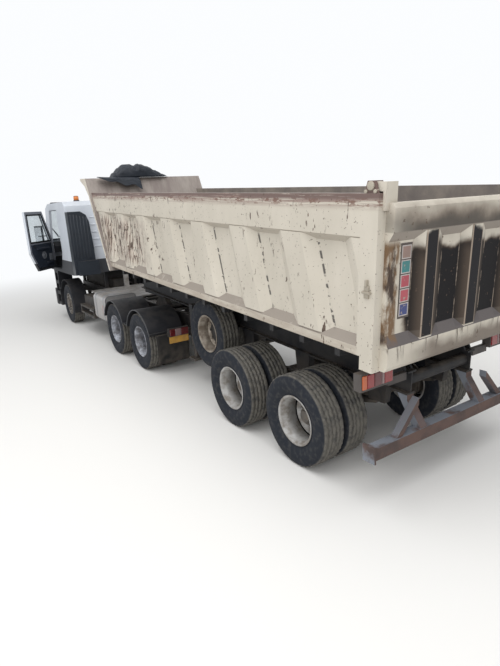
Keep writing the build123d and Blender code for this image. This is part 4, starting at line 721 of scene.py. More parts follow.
# Spare wheel: a beige steel rim with a tyre like the others, and no hub.
# It is bolted upright to the trailer's rail through its open middle, dish outward.
SPARE_AT = (MIDDLE_X + 0.788, REAR_FACE_Y - 3.620, 0.998)


def spare_dish(r):
    """Outer face of the spare wheel's disc, from the wheel's own middle."""
    return -0.054 + max(0.0, r - HUB_FACE_R) * 0.55


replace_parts(tyre_on_rim("spare", SPARE_AT, 1, 1, rim_beige, "trailer"), "spare_wheel")
holed_disc("spare_disc", SPARE_AT, 1, 0.140, 0.248, spare_dish, rim_beige, "trailer")

# Chassis: rolled channel rails, cross members, axles and springs under dull black paint.
# Everything below the bed wears a broken coat of pale road dust, on upward faces and thicker near the road.
dusting, dust_in, dust_out = group("settled_dust", (("Vector", None), ("Normal", None), ("Amount", 0.5), ("Low", 0.0),
                                                    ("High", 1.5)))
upward = ramp(dusting, split(dusting, dust_in.outputs["Normal"])["Z"], 0.25, 0.95)
height = split(dusting, dust_in.outputs["Vector"])["Z"]
lowness = node(dusting, "ShaderNodeMapRange", {"Value": height, "From Min": dust_in.outputs["High"],
                                               "From Max": dust_in.outputs["Low"]})
puffs = node(dusting, "ShaderNodeTexNoise", {"Vector": dust_in.outputs["Vector"], "Scale": 7.0, "Detail": 5.0})
either = maths(dusting, "MAXIMUM", upward, lowness.outputs[0])
broken = times(dusting, either, ramp(dusting, puffs.outputs["Fac"], 0.25, 0.62))
dusting.links.new(maths(dusting, "MULTIPLY", broken, dust_in.outputs["Amount"], True), dust_out.inputs["Mask"])


def dust_on(tree, place, amount, low, high):
    """A mask of settled dust, thickest between two heights."""
    return use(tree, dusting, Vector=place["Object"], Normal=place["Normal"], Amount=amount, Low=low, High=high)


def painted(name, paint, rough, amount, dust=(0.200, 0.165, 0.130, 1), low=0.2, high=1.3, metal=0.0):
    """Dull paint under road dust, for plain steel and plastic pieces."""
    made, tree, shader, place = finish(name, rough, metal)
    dusty = dust_on(tree, place, amount, low, high)
    uneven = spots(tree, place["Object"], 4.0, 0.5, 0.3)
    darker = tuple(c * 0.75 for c in paint[:3]) + (1,)
    colour = mix(tree, uneven, paint, darker)
    coat(tree, shader, mix(tree, dusty, colour, dust))
    grain = node(tree, "ShaderNodeTexNoise", {"Vector": place["Object"], "Scale": 60.0, "Detail": 3.0})
    bump(tree, shader, grain.outputs["Fac"], 0.12, 0.002)
    if metal == 0.0 and rough > 0.5:
        shader.inputs["Specular IOR Level"].default_value = 0.25
    return made


chassis_black = painted("chassis_black", (0.018, 0.019, 0.022, 1), 0.55, 0.40)
cast_iron = painted("cast_iron", (0.035, 0.034, 0.034, 1), 0.7, 0.6)
for name in ("tractor_frame", "trailer_frame", "rear_lamp_bar", "landing_legs", "hoist_barrel", "battery_box"):
    dress(name, chassis_black)
for name in ("drive_axles", "trailer_axles", "front_axle", "knuckle_left", "knuckle_right", "fifth_wheel",
             "engine_block"):
    dress(name, cast_iron)
fender_plastic = painted("fender_plastic", (0.017, 0.018, 0.022, 1), 0.6, 0.22, dust=(0.110, 0.098, 0.088, 1),
                         high=1.0)
for name in ("drive_fenders", "steps_and_arches", "roof_visor", "grille_panel", "front_bumper", "dashboard"):
    dress(name, fender_plastic)
plated_rod = painted("plated_rod", (0.550, 0.550, 0.560, 1), 0.2, 0.1, metal=0.9)
for i in range(1, 5):
    dress(f"hoist_stage_{i}", plated_rod)

# Tractor tail: a black lamp bar with a three-part lamp on each side and a bare plate below the left one.
# Moulded lenses are clear-coated, and the plate is a pressed sheet with a raised rim.


def on_road(x, y, z):
    """A point left of the lorry's middle, rearward of the bed's rear face and above the ground."""
    return Vector((MIDDLE_X + x, REAR_FACE_Y + y, z))


def bar(bm, low, high, place):
    """A box between two corners of some piece's own axes."""
    at = [bm.verts.new(place(x, y, z)) for x in (low[0], high[0]) for y in (low[1], high[1])
          for z in (low[2], high[2])]
    for ring in ((0, 1, 3, 2), (4, 6, 7, 5), (0, 4, 5, 1), (2, 3, 7, 6), (0, 2, 6, 4), (1, 5, 7, 3)):
        bm.faces.new([at[k] for k in ring])


def rounded(name, boxes, place, material, body, radius=0.004, steps=2):
    """Boxes with rounded edges as one piece."""
    bm = bmesh.new()
    for low, high in boxes:
        bar(bm, low, high, place)
    bmesh.ops.bevel(bm, geom=bm.edges[:], offset=radius, segments=steps, profile=0.5, affect="EDGES",
                    clamp_overlap=True)
    return solid(name, bm, material, body, smooth=False)


def strip(bm, outer, inner, at_back, at_front):
    """A flat ring between two outlines with as many points, from at_back to at_front."""
    loops = [[bm.verts.new(at(*point)) for point in line] for at in (at_back, at_front) for line in (outer, inner)]
    skin(bm, [loops[k] for k in (0, 1, 3, 2, 0)], closed=True)


def slab(bm, outline, at_back, at_front):
    """A plate with the outline's points, from at_back to at_front."""
    back = [bm.verts.new(at_back(*point)) for point in outline]
    front = [bm.verts.new(at_front(*point)) for point in outline]
    bm.faces.new(back)
    bm.faces.new(front)
    skin(bm, [back, front], closed=True)


def grown(outline, by):
    """The outline of a convex plate, moved outward by a distance."""
    middle = Vector((sum(a for a, b in outline), sum(b for a, b in outline))) / len(outline)
    lines = []
    for (a0, b0), (a1, b1) in zip(outline, outline[1:] + outline[:1]):
        start, end = Vector((a0, b0)), Vector((a1, b1))
        normal = Vector((b1 - b0, a0 - a1)).normalized()
        if normal.dot(start - middle) < 0:
            normal = -normal
        lines.append((start + normal * by, (end - start).normalized()))
    corners = []
    for (p0, d0), (p1, d1) in zip(lines[-1:] + lines[:-1], lines):
        cross = d0.x * d1.y - d0.y * d1.x
        t = ((p1 - p0).x * d1.y - (p1 - p0).y * d1.x) / cross
        corners.append(tuple(p0 + d0 * t))
    return corners


def lens(name, colour):
    """Moulded lamp plastic with fine upright flutes under a clear coat and a film of dust."""
    made, tree, shader, place = finish(name, 0.22)
    at = split(tree, place["Object"])
    film = spots(tree, place["Object"], 12.0, 0.45, 0.2)
    coat(tree, shader, mix(tree, times(tree, film, 0.14), colour, (0.200, 0.165, 0.140, 1)))
    shader.inputs["Coat Weight"].default_value = 0.6
    bump(tree, shader, maths(tree, "PINGPONG", at["X"], 0.006), 0.4, 0.003)
    return made


lens_red = lens("lens_red", (0.250, 0.006, 0.010, 1))
lens_dark_red = lens("lens_dark_red", (0.095, 0.005, 0.008, 1))
lens_orange = lens("lens_orange", (0.480, 0.090, 0.012, 1))
lens_clear = lens("lens_clear", (0.230, 0.150, 0.150, 1))
LAMP_GAP = 0.003


def lamp_row(name, hand, edges, rear, height, colours, body):
    """Lenses side by side from the outside in, crowned towards the rear."""
    for i, (outer, inner, colour) in enumerate(zip(edges, edges[1:], colours)):
        low, high = sorted((hand * (outer - LAMP_GAP), hand * (inner + LAMP_GAP)))
        rounded(f"{name}_{i + 1}", [((low, rear - 0.010, height[0]), (high, rear + 0.014, height[1]))], on_road, colour,
                body, 0.008, 3)


TAIL_BAR_Y = -4.950
TAIL_BAR_REAR = TAIL_BAR_Y + 0.130
for word, hand in SIDES:
    lamp_row(f"tractor_lamp_{word}", hand, (1.004, 0.900, 0.790, 0.646), TAIL_BAR_REAR, (0.738, 0.862),
             (lens_dark_red, lens_clear, lens_dark_red), "tractor")
plate_yellow, tree, shader, place = finish("plate_yellow", 0.45)
film = spots(tree, place["Object"], 9.0, 0.45, 0.25)
coat(tree, shader, mix(tree, film, (0.620, 0.340, 0.060, 1), (0.420, 0.235, 0.070, 1)))
bump(tree, shader, film, 0.15, 0.002)
PLATE_AT = TAIL_BAR_Y + 0.067
bm = bmesh.new()
face = [(0.628, 0.600), (0.992, 0.600), (0.992, 0.716), (0.628, 0.716)]
slab(bm, face, lambda x, z: on_road(x, PLATE_AT - 0.004, z), lambda x, z: on_road(x, PLATE_AT + 0.002, z))
strip(bm, grown(face, 0.002), grown(face, -0.008), lambda x, z: on_road(x, PLATE_AT, z),
      lambda x, z: on_road(x, PLATE_AT + 0.005, z))
solid("bare_plate", bm, plate_yellow, "tractor", smooth=False)

# Fenders: moulded black plastic half-rounds over the twin drive wheels.
# Each has a rolled rim along its outer edge, in a slightly paler black than the fender.
fender_rim = painted("fender_rim", (0.050, 0.054, 0.062, 1), 0.5, 0.1)
FENDER_R = 0.590
FENDER_OUT = 1.258
FENDER_ENDS = math.asin(0.34)
FENDER_STEPS = 36
RIM_SIDES = 8
bm = bmesh.new()
for hand in (1, -1):
    for axle in DRIVE_AXLES:
        rows = []
        for k in range(FENDER_STEPS + 1):
            angle = FENDER_ENDS + (math.pi - 2 * FENDER_ENDS) * k / FENDER_STEPS
            row = []
            for q in range(RIM_SIDES):
                turn_at = 2 * math.pi * q / RIM_SIDES
                r = FENDER_R + 0.006 + 0.010 * math.cos(turn_at)
                row.append(bm.verts.new(on_road(hand * (FENDER_OUT + 0.007 * math.sin(turn_at)),
                                                axle + r * math.cos(angle), TYRE_R + r * math.sin(angle))))
            rows.append(row)
        skin(bm, rows, closed=True, capped=True)
solid("fender_rims", bm, fender_rim, "tractor")

# Trailer tail: a steel lamp box on each side with five moulded lenses in a row.
# Below them hangs the welded underrun bar, rusty, with grey-blue paint left on its upper and end faces.
bar_rust, tree, shader, place = finish("bar_rust", 0.75)
facing = split(tree, place["Normal"])
patches = spots(tree, place["Object"], 5.0, 0.5, 0.15, 7.0)
rusty = mix(tree, patches, (0.105, 0.062, 0.050, 1), (0.060, 0.040, 0.036, 1))
blue_left = spots(tree, place["Object"], 3.5, 0.66, 0.08, 7.0)
painted_face = maths(tree, "MAXIMUM", ramp(tree, facing["Z"], 0.5, 0.8),
                     ramp(tree, maths(tree, "ABSOLUTE", facing["X"]), 0.6, 0.9))
colour = mix(tree, times(tree, painted_face, blue_left), rusty, (0.190, 0.205, 0.235, 1))
coat(tree, shader, colour)
bump(tree, shader, patches, 0.3, 0.004)
dress("underrun_bar", bar_rust)
box_grey = painted("box_grey", (0.085, 0.078, 0.078, 1), 0.6, 0.5, high=1.6)
dress("tail_lamps", box_grey)
for word, hand in SIDES:
    lamp_row(f"trailer_lamp_{word}", hand, (1.215, 1.155, 1.060, 0.960, 0.925, 0.812), -0.130, (1.172, 1.306),
             (lens_orange, lens_red, lens_dark_red, lens_clear, lens_red), "trailer")

# Sign squares: five plain squares of coloured sign film in thin pale borders, scratched and sooty.
# They stick one above the other on a dark strip beside the gate's outer rib.
SIGN_AT = 0.3403
SIGN_X = (0.866, 0.982)
SIGN_LOW = 0.620
SIGN_STEP = 0.124
SIGN_GAP = 0.010


def on_bed(x, y, z):
    """A point in the bed's own axes, from its tipping hinge."""
    c, t = math.cos(BED_NOSE_UP), math.sin(BED_NOSE_UP)
    return Vector((HINGE_PLACE[0] + x, HINGE_PLACE[1] + y * c + z * t, HINGE_PLACE[2] - y * t + z * c))


def sign_paint(name, colour, worn=0.25):
    """Sign film with scratches and soot."""
    made, tree, shader, place = finish(name, 0.5)
    scratched = spots(tree, place["Object"], 22.0, worn, 0.05)
    haze = spots(tree, place["Object"], 6.0, 0.5, 0.3)
    shade = mix(tree, times(tree, haze, 0.35), colour, (0.150, 0.115, 0.095, 1))
    coat(tree, shader, mix(tree, scratched, shade, (0.330, 0.280, 0.240, 1)))
    bump(tree, shader, scratched, 0.1, 0.001)
    return made


sign_back = sign_paint("sign_back", (0.060, 0.048, 0.042, 1), 0.15)
sign_border = sign_paint("sign_border", (0.520, 0.480, 0.460, 1), 0.30)
bm = bmesh.new()
strip_x = (SIGN_X[0] - 0.012, SIGN_X[1] + 0.016)
strip_z = (SIGN_LOW - 0.020, SIGN_LOW + 5 * SIGN_STEP + 0.010)
backing = [(strip_x[0], strip_z[0]), (strip_x[1], strip_z[0]), (strip_x[1], strip_z[1]), (strip_x[0], strip_z[1])]
slab(bm, backing, lambda x, z: on_bed(x, SIGN_AT - 0.001, z), lambda x, z: on_bed(x, SIGN_AT + 0.001, z))
solid("sign_strip", bm, sign_back, "tailgate", smooth=False)
for i, colour in enumerate(((0.035, 0.055, 0.190, 1), (0.480, 0.075, 0.105, 1), (0.430, 0.060, 0.090, 1),
                            (0.020, 0.210, 0.215, 1), (0.300, 0.200, 0.170, 1))):
    low = SIGN_LOW + i * SIGN_STEP
    high = low + SIGN_STEP - SIGN_GAP
    square = [(SIGN_X[0], low), (SIGN_X[1], low), (SIGN_X[1], high), (SIGN_X[0], high)]
    bm = bmesh.new()
    slab(bm, grown(square, -0.004), lambda x, z: on_bed(x, SIGN_AT, z), lambda x, z: on_bed(x, SIGN_AT + 0.0025, z))
    solid(f"sign_square_{i + 1}", bm, sign_paint(f"sign_film_{i + 1}", colour), "tailgate", smooth=False)
    bm = bmesh.new()
    strip(bm, square, grown(square, -0.009), lambda x, z: on_bed(x, SIGN_AT, z),
          lambda x, z: on_bed(x, SIGN_AT + 0.0035, z))
    solid(f"sign_border_{i + 1}", bm, sign_border, "tailgate", smooth=False)

# Fuel and air tanks: rolled aluminium with pressed end caps, dull with road dust.
# Two bright steel straps hold each one to the frame, and the left one has a faded red patch.
tank_skin, tree, shader, place = finish("tank_skin", 0.42, 0.35)
at = split(tree, place["Object"])
dusty = dust_on(tree, place, 0.75, 0.1, 1.3)
colour = mix(tree, spots(tree, place["Object"], 5.0, 0.5, 0.3), (0.470, 0.465, 0.470, 1), (0.380, 0.370, 0.370, 1))
patch_y = ramp(tree, maths(tree, "ABSOLUTE", maths(tree, "SUBTRACT", at["Y"], REAR_FACE_Y - 7.960)), 0.085, 0.070)
patch_z = ramp(tree, maths(tree, "ABSOLUTE", maths(tree, "SUBTRACT", at["Z"], 0.800)), 0.105, 0.085)
faded = spots(tree, place["Object"], 16.0, 0.62, 0.12)
red_patch = times(tree, patch_y, patch_z, faded, maths(tree, "GREATER_THAN", at["X"], 0.0))
colour = mix(tree, times(tree, red_patch, 0.7), colour, (0.420, 0.160, 0.140, 1))
coat(tree, shader, mix(tree, dusty, colour, (0.260, 0.225, 0.190, 1)))
bump(tree, shader, spots(tree, place["Object"], 2.0, 0.5, 0.4), 0.25, 0.006)
dress("side_tanks", tank_skin)
strap_steel = painted("strap_steel", (0.400, 0.410, 0.430, 1), 0.35, 0.2, metal=0.6)
TANK_ENDS = {1: (-8.620, -7.780), -1: (-9.500, -7.780)}
TANK_X = (0.445, 1.170)
TANK_Z = (0.500, 1.110)
TANK_CORNER = 0.110
STRAP_IN = 0.150
STRAP_HALF = 0.028


def tank_line(by, points=8):
    """The tank's rounded section, grown by a distance, as (x, z) points."""
    line = []
    radius = TANK_CORNER + by
    for q, (cx, cz) in enumerate(((TANK_X[1] - TANK_CORNER, TANK_Z[1] - TANK_CORNER),
                                  (TANK_X[0] + TANK_CORNER, TANK_Z[1] - TANK_CORNER),
                                  (TANK_X[0] + TANK_CORNER, TANK_Z[0] + TANK_CORNER),
                                  (TANK_X[1] - TANK_CORNER, TANK_Z[0] + TANK_CORNER))):
        for k in range(points + 1):
            angle = math.pi / 2 * (q + k / points)
            line.append((cx + radius * math.cos(angle), cz + radius * math.sin(angle)))
    return line


bm = bmesh.new()
for hand, ends in TANK_ENDS.items():
    for y in (ends[0] + STRAP_IN, ends[1] - STRAP_IN):
        strip(bm, tank_line(0.006), tank_line(-0.002), lambda x, z: on_road(hand * x, y - STRAP_HALF, z),
              lambda x, z: on_road(hand * x, y + STRAP_HALF, z))
    for y in ends:
        strip(bm, tank_line(0.0), tank_line(-0.018), lambda x, z: on_road(hand * x, y - 0.004, z),
              lambda x, z: on_road(hand * x, y + 0.006, z))
solid("tank_straps", bm, strap_steel, "tractor", smooth=False)

# Catwalk: light alloy chequer plate laid over the frame behind the cab.
# Its short crossed bars are rolled into the sheet, and grime lies over it in patches.
chequer, tree, shader, place = finish("chequer_plate", 0.4, 0.4)
at = split(tree, place["Object"])
bars_a = maths(tree, "PINGPONG", maths(tree, "ADD", at["X"], at["Y"]), 0.020)
bars_b = maths(tree, "PINGPONG", maths(tree, "SUBTRACT", at["X"], at["Y"]), 0.020)
raised = times(tree, ramp(tree, bars_a, 0.014, 0.018), ramp(tree, bars_b, 0.004, 0.008))
grimy = spots(tree, place["Object"], 6.0, 0.5, 0.2)
coat(tree, shader, mix(tree, grimy, (0.420, 0.410, 0.400, 1), (0.210, 0.190, 0.170, 1)))
bump(tree, shader, raised, 0.5, 0.003)
dress("catwalk", chequer)

# Cab: a welded shell of pressed steel sheet in cool white above a dark grey plastic skirt.
# The roof units are dark plastic, and a ribbed plastic air intake stands against the rear wall.
SKIRT_TOP = 1.75
cab_white, tree, shader, place = finish("cab_white", 0.33)
at = split(tree, place["Object"])
dusty = dust_on(tree, place, 0.28, 1.2, 2.3)
colour = mix(tree, spots(tree, place["Object"], 2.0, 0.5, 0.3), (0.640, 0.680, 0.740, 1), (0.560, 0.600, 0.665, 1))
colour = mix(tree, dusty, colour, (0.330, 0.300, 0.270, 1))
skirt = ramp(tree, at["Z"], SKIRT_TOP + 0.002, SKIRT_TOP - 0.002)
colour = mix(tree, skirt, colour, (0.050, 0.053, 0.060, 1))
coat(tree, shader, colour)
tree.links.new(maths(tree, "MULTIPLY_ADD", skirt, 0.3), shader.inputs["Roughness"])
bump(tree, shader, node(tree, "ShaderNodeTexNoise", {"Vector": place["Object"], "Scale": 40.0}).outputs["Fac"],
     0.05, 0.001)
dress("cab_shell", cab_white)
unit_dark = painted("unit_dark", (0.060, 0.066, 0.078, 1), 0.5, 0.3, high=0.1)
dress("roof_units", unit_dark)
intake_navy = painted("intake_navy", (0.016, 0.022, 0.032, 1), 0.45, 0.25, high=0.3)
dress("air_intake", intake_navy)
INTAKE_BACK = -9.662
BEAD_STEPS = 6


def bead(bm, ends, half, at):
    """A half-round bead: ends are its (distance along, height) pairs, at(along, across, out) places a point."""
    rows = []
    for along, height in ends:
        angles = [math.pi * k / BEAD_STEPS for k in range(BEAD_STEPS + 1)]
        rows.append([bm.verts.new(at(along, half * math.cos(a), height * math.sin(a))) for a in angles])
    skin(bm, rows, closed=True, capped=True)


bm = bmesh.new()
for i in range(6):
    x = 0.790 + i * 0.075
    top = 2.800 + 0.02 * min(i, 4)
    bead(bm, ((1.800, 0.002), (1.815, 0.012), (top - 0.015, 0.012), (top, 0.002)), 0.016,
         lambda along, across, out: on_road(x + across, INTAKE_BACK + out, along))
solid("intake_ribs", bm, intake_navy, "cab")

# Cab's rear wall: one steel sheet in the cab's white.
# Five long beads are pressed into it to stiffen it.
REAR_WALL_Y = -9.902
bm = bmesh.new()
for z in (2.080, 2.260, 2.440, 2.620, 2.800):
    bead(bm, ((-1.040, 0.003), (-1.020, 0.015), (0.620, 0.015), (0.640, 0.003)), 0.024,
         lambda along, across, out: on_road(along, REAR_WALL_Y + out, z + across))
solid("rear_wall_beads", bm, cab_white, "cab")

# Beacon: a moulded amber dome, clear-coated and finely fluted.
# It is screwed down over its lamp on the roof's left side.


def turned(bm, profile, base, axis, steps=32):
    """Turns (distance along the axis, radius) points about an axis through base."""
    axis = Vector(axis).normalized()
    across = axis.orthogonal().normalized()
    up = axis.cross(across)
    rings = []
    for along, radius in profile:
        middle = base + axis * along
        if radius < 1e-6:
            rings.append([bm.verts.new(middle)])
            continue
        rings.append([bm.verts.new(middle + across * radius * math.cos(2 * math.pi * k / steps)
                                   + up * radius * math.sin(2 * math.pi * k / steps)) for k in range(steps)])
    for low, high in zip(rings, rings[1:]):
        for k in range(steps):
            n = (k + 1) % steps
            if len(low) == 1:
                bm.faces.new((low[0], high[k], high[n]))
            elif len(high) == 1:
                bm.faces.new((low[k], low[n], high[0]))
            else:
                bm.faces.new((low[k], low[n], high[n], high[k]))


amber, tree, shader, place = finish("amber_dome", 0.15)
haze = spots(tree, place["Object"], 30.0, 0.45, 0.3)
coat(tree, shader, mix(tree, haze, (0.760, 0.230, 0.030, 1), (0.620, 0.170, 0.025, 1)))
shader.inputs["Coat Weight"].default_value = 0.5
flutes = maths(tree, "PINGPONG", split(tree, place["Object"])["Z"], 0.005)
bump(tree, shader, flutes, 0.3, 0.002)
bm = bmesh.new()
turned(bm, [(0.0, 0.050), (0.0, 0.064), (0.060, 0.065), (0.090, 0.061), (0.106, 0.048), (0.112, 0.025), (0.113, 0.0)],
       on_road(0.700, -10.650, 3.240), (0, 0, 1), 40)
solid("beacon_dome", bm, amber, "cab")

# Glass: clear flat panes with a faint green-blue cast and smears of dust.
# Each is held in a black rubber seal pressed over the sheet's edge.
cab_glass, tree, shader, place = finish("cab_glass", 0.03)
smears = spots(tree, place["Object"], 3.0, 0.5, 0.3)
coat(tree, shader, mix(tree, smears, (0.700, 0.760, 0.790, 1), (0.560, 0.600, 0.620, 1)))
tree.links.new(times(tree, smears, 0.10), shader.inputs["Roughness"])
shader.inputs["Transmission Weight"].default_value = 0.92
shader.inputs["IOR"].default_value = 1.1
for name in ("windscreen", "door_window_left", "door_window_right"):
    dress(name, cab_glass)
seal_rubber = painted("seal_rubber", (0.012, 0.012, 0.013, 1), 0.75, 0.15)

# Doors: pressed steel leaves, white outside, hung on two hinges at the cab's front pillar.
# Inside is a dark navy moulded trim with a speaker, a pocket and an armrest, and the mirrors stand outside.
DOOR_HINGE = (1.243, -11.900)
DOOR_SWUNG = math.radians(42.0)
LEAF_X = (-0.078, -0.018)


def on_leaf(hand, swung):
    """A place function for a door: x outward from its hinge line, y rearward along the leaf, z up."""
    c, t = math.cos(swung), math.sin(swung)
    return lambda x, y, z: on_road(hand * (DOOR_HINGE[0] + x * c + y * t), DOOR_HINGE[1] + y * c - x * t, z)


door_navy = painted("door_navy", (0.022, 0.029, 0.044, 1), 0.7, 0.25, high=0.3)
mirror_face, tree, shader, place = finish("mirror_face", 0.06, 0.95)
haze = spots(tree, place["Object"], 14.0, 0.4, 0.3)
coat(tree, shader, mix(tree, haze, (0.700, 0.720, 0.740, 1), (0.520, 0.530, 0.540, 1)))
for word, hand, swung in (("left", 1, DOOR_SWUNG), ("right", -1, 0.0)):
    at_leaf = on_leaf(hand, swung)
    body = f"door_{word}"
    # The leaf's own finish: white outside, dark on mirrors, hinges and the inner face
    leaf_paint, tree, shader, place = finish(f"leaf_paint_{word}", 0.35)
    hinge = on_road(hand * DOOR_HINGE[0], DOOR_HINGE[1], 0.0)
    moved = node(tree, "ShaderNodeVectorMath", {0: place["Object"], 1: tuple(hinge)}, operation="SUBTRACT")
    swing = node(tree, "ShaderNodeVectorRotate", {"Vector": moved.outputs[0], "Angle": hand * swung},
                 rotation_type="Z_AXIS")
    local = split(tree, swing.outputs[0])
    outward = times(tree, local["X"], float(hand))
    proud = maths(tree, "GREATER_THAN", outward, LEAF_X[1] + 0.002)
    inside = maths(tree, "LESS_THAN", outward, LEAF_X[0] + 0.003)
    low = ramp(tree, local["Z"], SKIRT_TOP - 0.058, SKIRT_TOP - 0.062)
    dusty = dust_on(tree, place, 0.3, 1.2, 2.3)
    colour = mix(tree, dusty, (0.620, 0.660, 0.720, 1), (0.330, 0.300, 0.270, 1))
    colour = mix(tree, inside, colour, (0.200, 0.210, 0.240, 1))
    colour = mix(tree, maths(tree, "MAXIMUM", proud, low), colour, (0.030, 0.032, 0.038, 1))
    coat(tree, shader, colour)
    bump(tree, shader, dusty, 0.05, 0.001)
    dress(body, leaf_paint)
    window = [(0.130, 2.240), (0.400, 2.930), (1.060, 2.930), (1.060, 2.240)]
    bm = bmesh.new()
    for x0, x1 in ((LEAF_X[1] - 0.006, LEAF_X[1] + 0.005), (LEAF_X[0] - 0.005, LEAF_X[0] + 0.006)):
        strip(bm, grown(window, 0.024), grown(window, -0.014), lambda y, z: at_leaf(x0, y, z),
              lambda y, z: at_leaf(x1, y, z))
    solid(f"door_seal_{word}", bm, seal_rubber, body, smooth=False)
    bm = bmesh.new()
    trim = [(0.125, 1.560), (0.125, 2.185), (1.085, 2.185), (1.085, 1.985), (0.840, 1.560)]
    slab(bm, trim, lambda y, z: at_leaf(LEAF_X[0] + 0.001, y, z), lambda y, z: at_leaf(LEAF_X[0] - 0.016, y, z))
    bmesh.ops.bevel(bm, geom=bm.edges[:], offset=0.006, segments=2, profile=0.5, affect="EDGES")
    solid(f"door_trim_{word}", bm, door_navy, body, smooth=False)
    rounded(f"door_armrest_{word}", [((LEAF_X[0] - 0.060, 0.300, 2.030), (LEAF_X[0] - 0.012, 0.900, 2.085)),
                                     ((LEAF_X[0] - 0.045, 0.160, 1.640), (LEAF_X[0] - 0.012, 0.480, 1.700))],
            at_leaf, door_navy, body, 0.012, 3)
    pocket_grey = painted(f"pocket_grey_{word}", (0.160, 0.170, 0.190, 1), 0.6, 0.2, high=0.3)
    rounded(f"door_pocket_{word}", [((LEAF_X[0] - 0.026, 0.150, 1.720), (LEAF_X[0] - 0.014, 0.320, 1.900))],
            at_leaf, pocket_grey, body, 0.006, 2)
    bm = bmesh.new()
    axis = at_leaf(-1.0, 0.0, 0.0) - at_leaf(0.0, 0.0, 0.0)
    base = at_leaf(LEAF_X[0] - 0.015, 0.560, 1.880)
    turned(bm, [(0.0, 0.098), (0.012, 0.098), (0.014, 0.086), (0.006, 0.080), (0.006, 0.060), (0.010, 0.056),
                (0.010, 0.034), (0.014, 0.030), (0.016, 0.0)], base, axis, 40)
    solid(f"door_speaker_{word}", bm, pocket_grey, body)
    rounded(f"door_handle_{word}", [((LEAF_X[1] - 0.002, 0.880, 2.080), (LEAF_X[1] + 0.030, 1.060, 2.112)),
                                    ((LEAF_X[0] - 0.034, 0.900, 2.120), (LEAF_X[0] - 0.014, 1.000, 2.140))],
            at_leaf, seal_rubber, body, 0.008, 2)
    rounded(f"mirror_glass_{word}", [((0.172, 0.094, 2.200), (0.358, 0.0985, 2.600))], at_leaf, mirror_face, body,
            0.002, 2)

# Windscreen: one sloping laminated pane in a black rubber seal.
# Three parked wipers lie over its lower half, each an arm and a blade.
front_low = Vector((0.0, -12.390, 2.180))
front_high = Vector((0.0, -11.980, 3.090))
screen_up = (front_high - front_low).normalized()
screen_out = Vector((0.0, -screen_up.z, screen_up.y))
screen_mid = (front_low + front_high) / 2


def on_screen(out):
    """A place function on the sloping windscreen: across and up from its middle."""
    return lambda a, b: on_road(*(Vector((a, 0, 0)) + screen_mid + screen_up * b + screen_out * out))


half_w, half_h = 1.125, (front_high - front_low).length / 2 - 0.045
opening = [(-half_w, -half_h), (half_w, -half_h), (half_w, half_h), (-half_w, half_h)]
bm = bmesh.new()
strip(bm, grown(opening, 0.020), grown(opening, -0.030), on_screen(-0.010), on_screen(0.008))
solid("windscreen_seal", bm, seal_rubber, "cab", smooth=False)
bm = bmesh.new()
for foot in (-0.75, 0.05, 0.80):
    for width, start, end in ((0.014, (foot, -half_h - 0.03), (foot + 0.26, -half_h + 0.34)),
                              (0.020, (foot + 0.10, -half_h + 0.06), (foot + 0.42, -half_h + 0.62))):
        run = Vector((end[0] - start[0], end[1] - start[1])).normalized() * width / 2
        blade = [(start[0] - run.y, start[1] + run.x), (start[0] + run.y, start[1] - run.x),
                 (end[0] + run.y, end[1] - run.x), (end[0] - run.y, end[1] + run.x)]
        slab(bm, blade, on_screen(0.002), on_screen(0.022))
solid("wipers", bm, seal_rubber, "cab", smooth=False)

# Front lamps: headlamps sunk into the bumper's recesses, two bright bowls each under a clear moulded cover.
# An amber turn lamp sits outside each pair, and a blank yellow plate is screwed below the middle.
FRONT_LAMP_Z = (0.574, 0.746)
LAMP_BACK_Y = -12.440
bowl_silver, tree, shader, place = finish("bowl_silver", 0.15, 0.9)
haze = spots(tree, place["Object"], 20.0, 0.4, 0.3)
coat(tree, shader, mix(tree, haze, (0.750, 0.755, 0.760, 1), (0.560, 0.560, 0.560, 1)))
for word, hand in SIDES:
    low, high = sorted((hand * 0.604, hand * 0.900))
    rounded(f"headlamp_shell_{word}", [((low, LAMP_BACK_Y, FRONT_LAMP_Z[0]), (high, -12.431, FRONT_LAMP_Z[1]))],
            on_road, seal_rubber, "tractor", 0.003, 2)
    bm = bmesh.new()
    for x, radius in ((0.685, 0.070), (0.830, 0.056)):
        bowl = [(0.0, 0.0), (0.002, radius * 0.35), (0.014, radius * 0.85), (0.020, radius), (0.020, radius + 0.006),
                (0.0, radius + 0.006)]
        turned(bm, bowl, on_road(hand * x, LAMP_BACK_Y, sum(FRONT_LAMP_Z) / 2), (0, -1, 0), 36)
    solid(f"headlamp_bowls_{word}", bm, bowl_silver, "tractor")
    low, high = sorted((hand * 0.604, hand * 0.896))
    rounded(f"headlamp_cover_{word}", [((low, -12.468, FRONT_LAMP_Z[0]), (high, -12.463, FRONT_LAMP_Z[1]))], on_road,
            cab_glass, "tractor", 0.002, 2)
    low, high = sorted((hand * 0.906, hand * 0.996))
    rounded(f"turn_lamp_{word}", [((low, -12.464, FRONT_LAMP_Z[0]), (high, -12.434, FRONT_LAMP_Z[1]))], on_road,
            lens_orange, "tractor", 0.006, 2)
rounded("front_blank_plate", [((-0.260, -12.476, 0.412), (0.260, -12.4705, 0.508))], on_road, plate_yellow, "tractor",
        0.002, 2)

# Radiator: a core of thin alloy fins on upright tubes, brazed together, in a dark steel frame.
# It stands on two feet between the bumper and the cab's underside.


def fin_row(tree, given):
    """Equal bars set a step apart."""
    line = node(tree, "GeometryNodeMeshLine", {"Count": given["Count"], "Start Location": given["First"],
                                               "Offset": given["Step"]})
    fin = node(tree, "GeometryNodeMeshCube", {"Size": given["Bar Size"]})
    placed = node(tree, "GeometryNodeInstanceOnPoints", {"Points": line.outputs[0], "Instance": fin.outputs[0]})
    return placed.outputs[0]


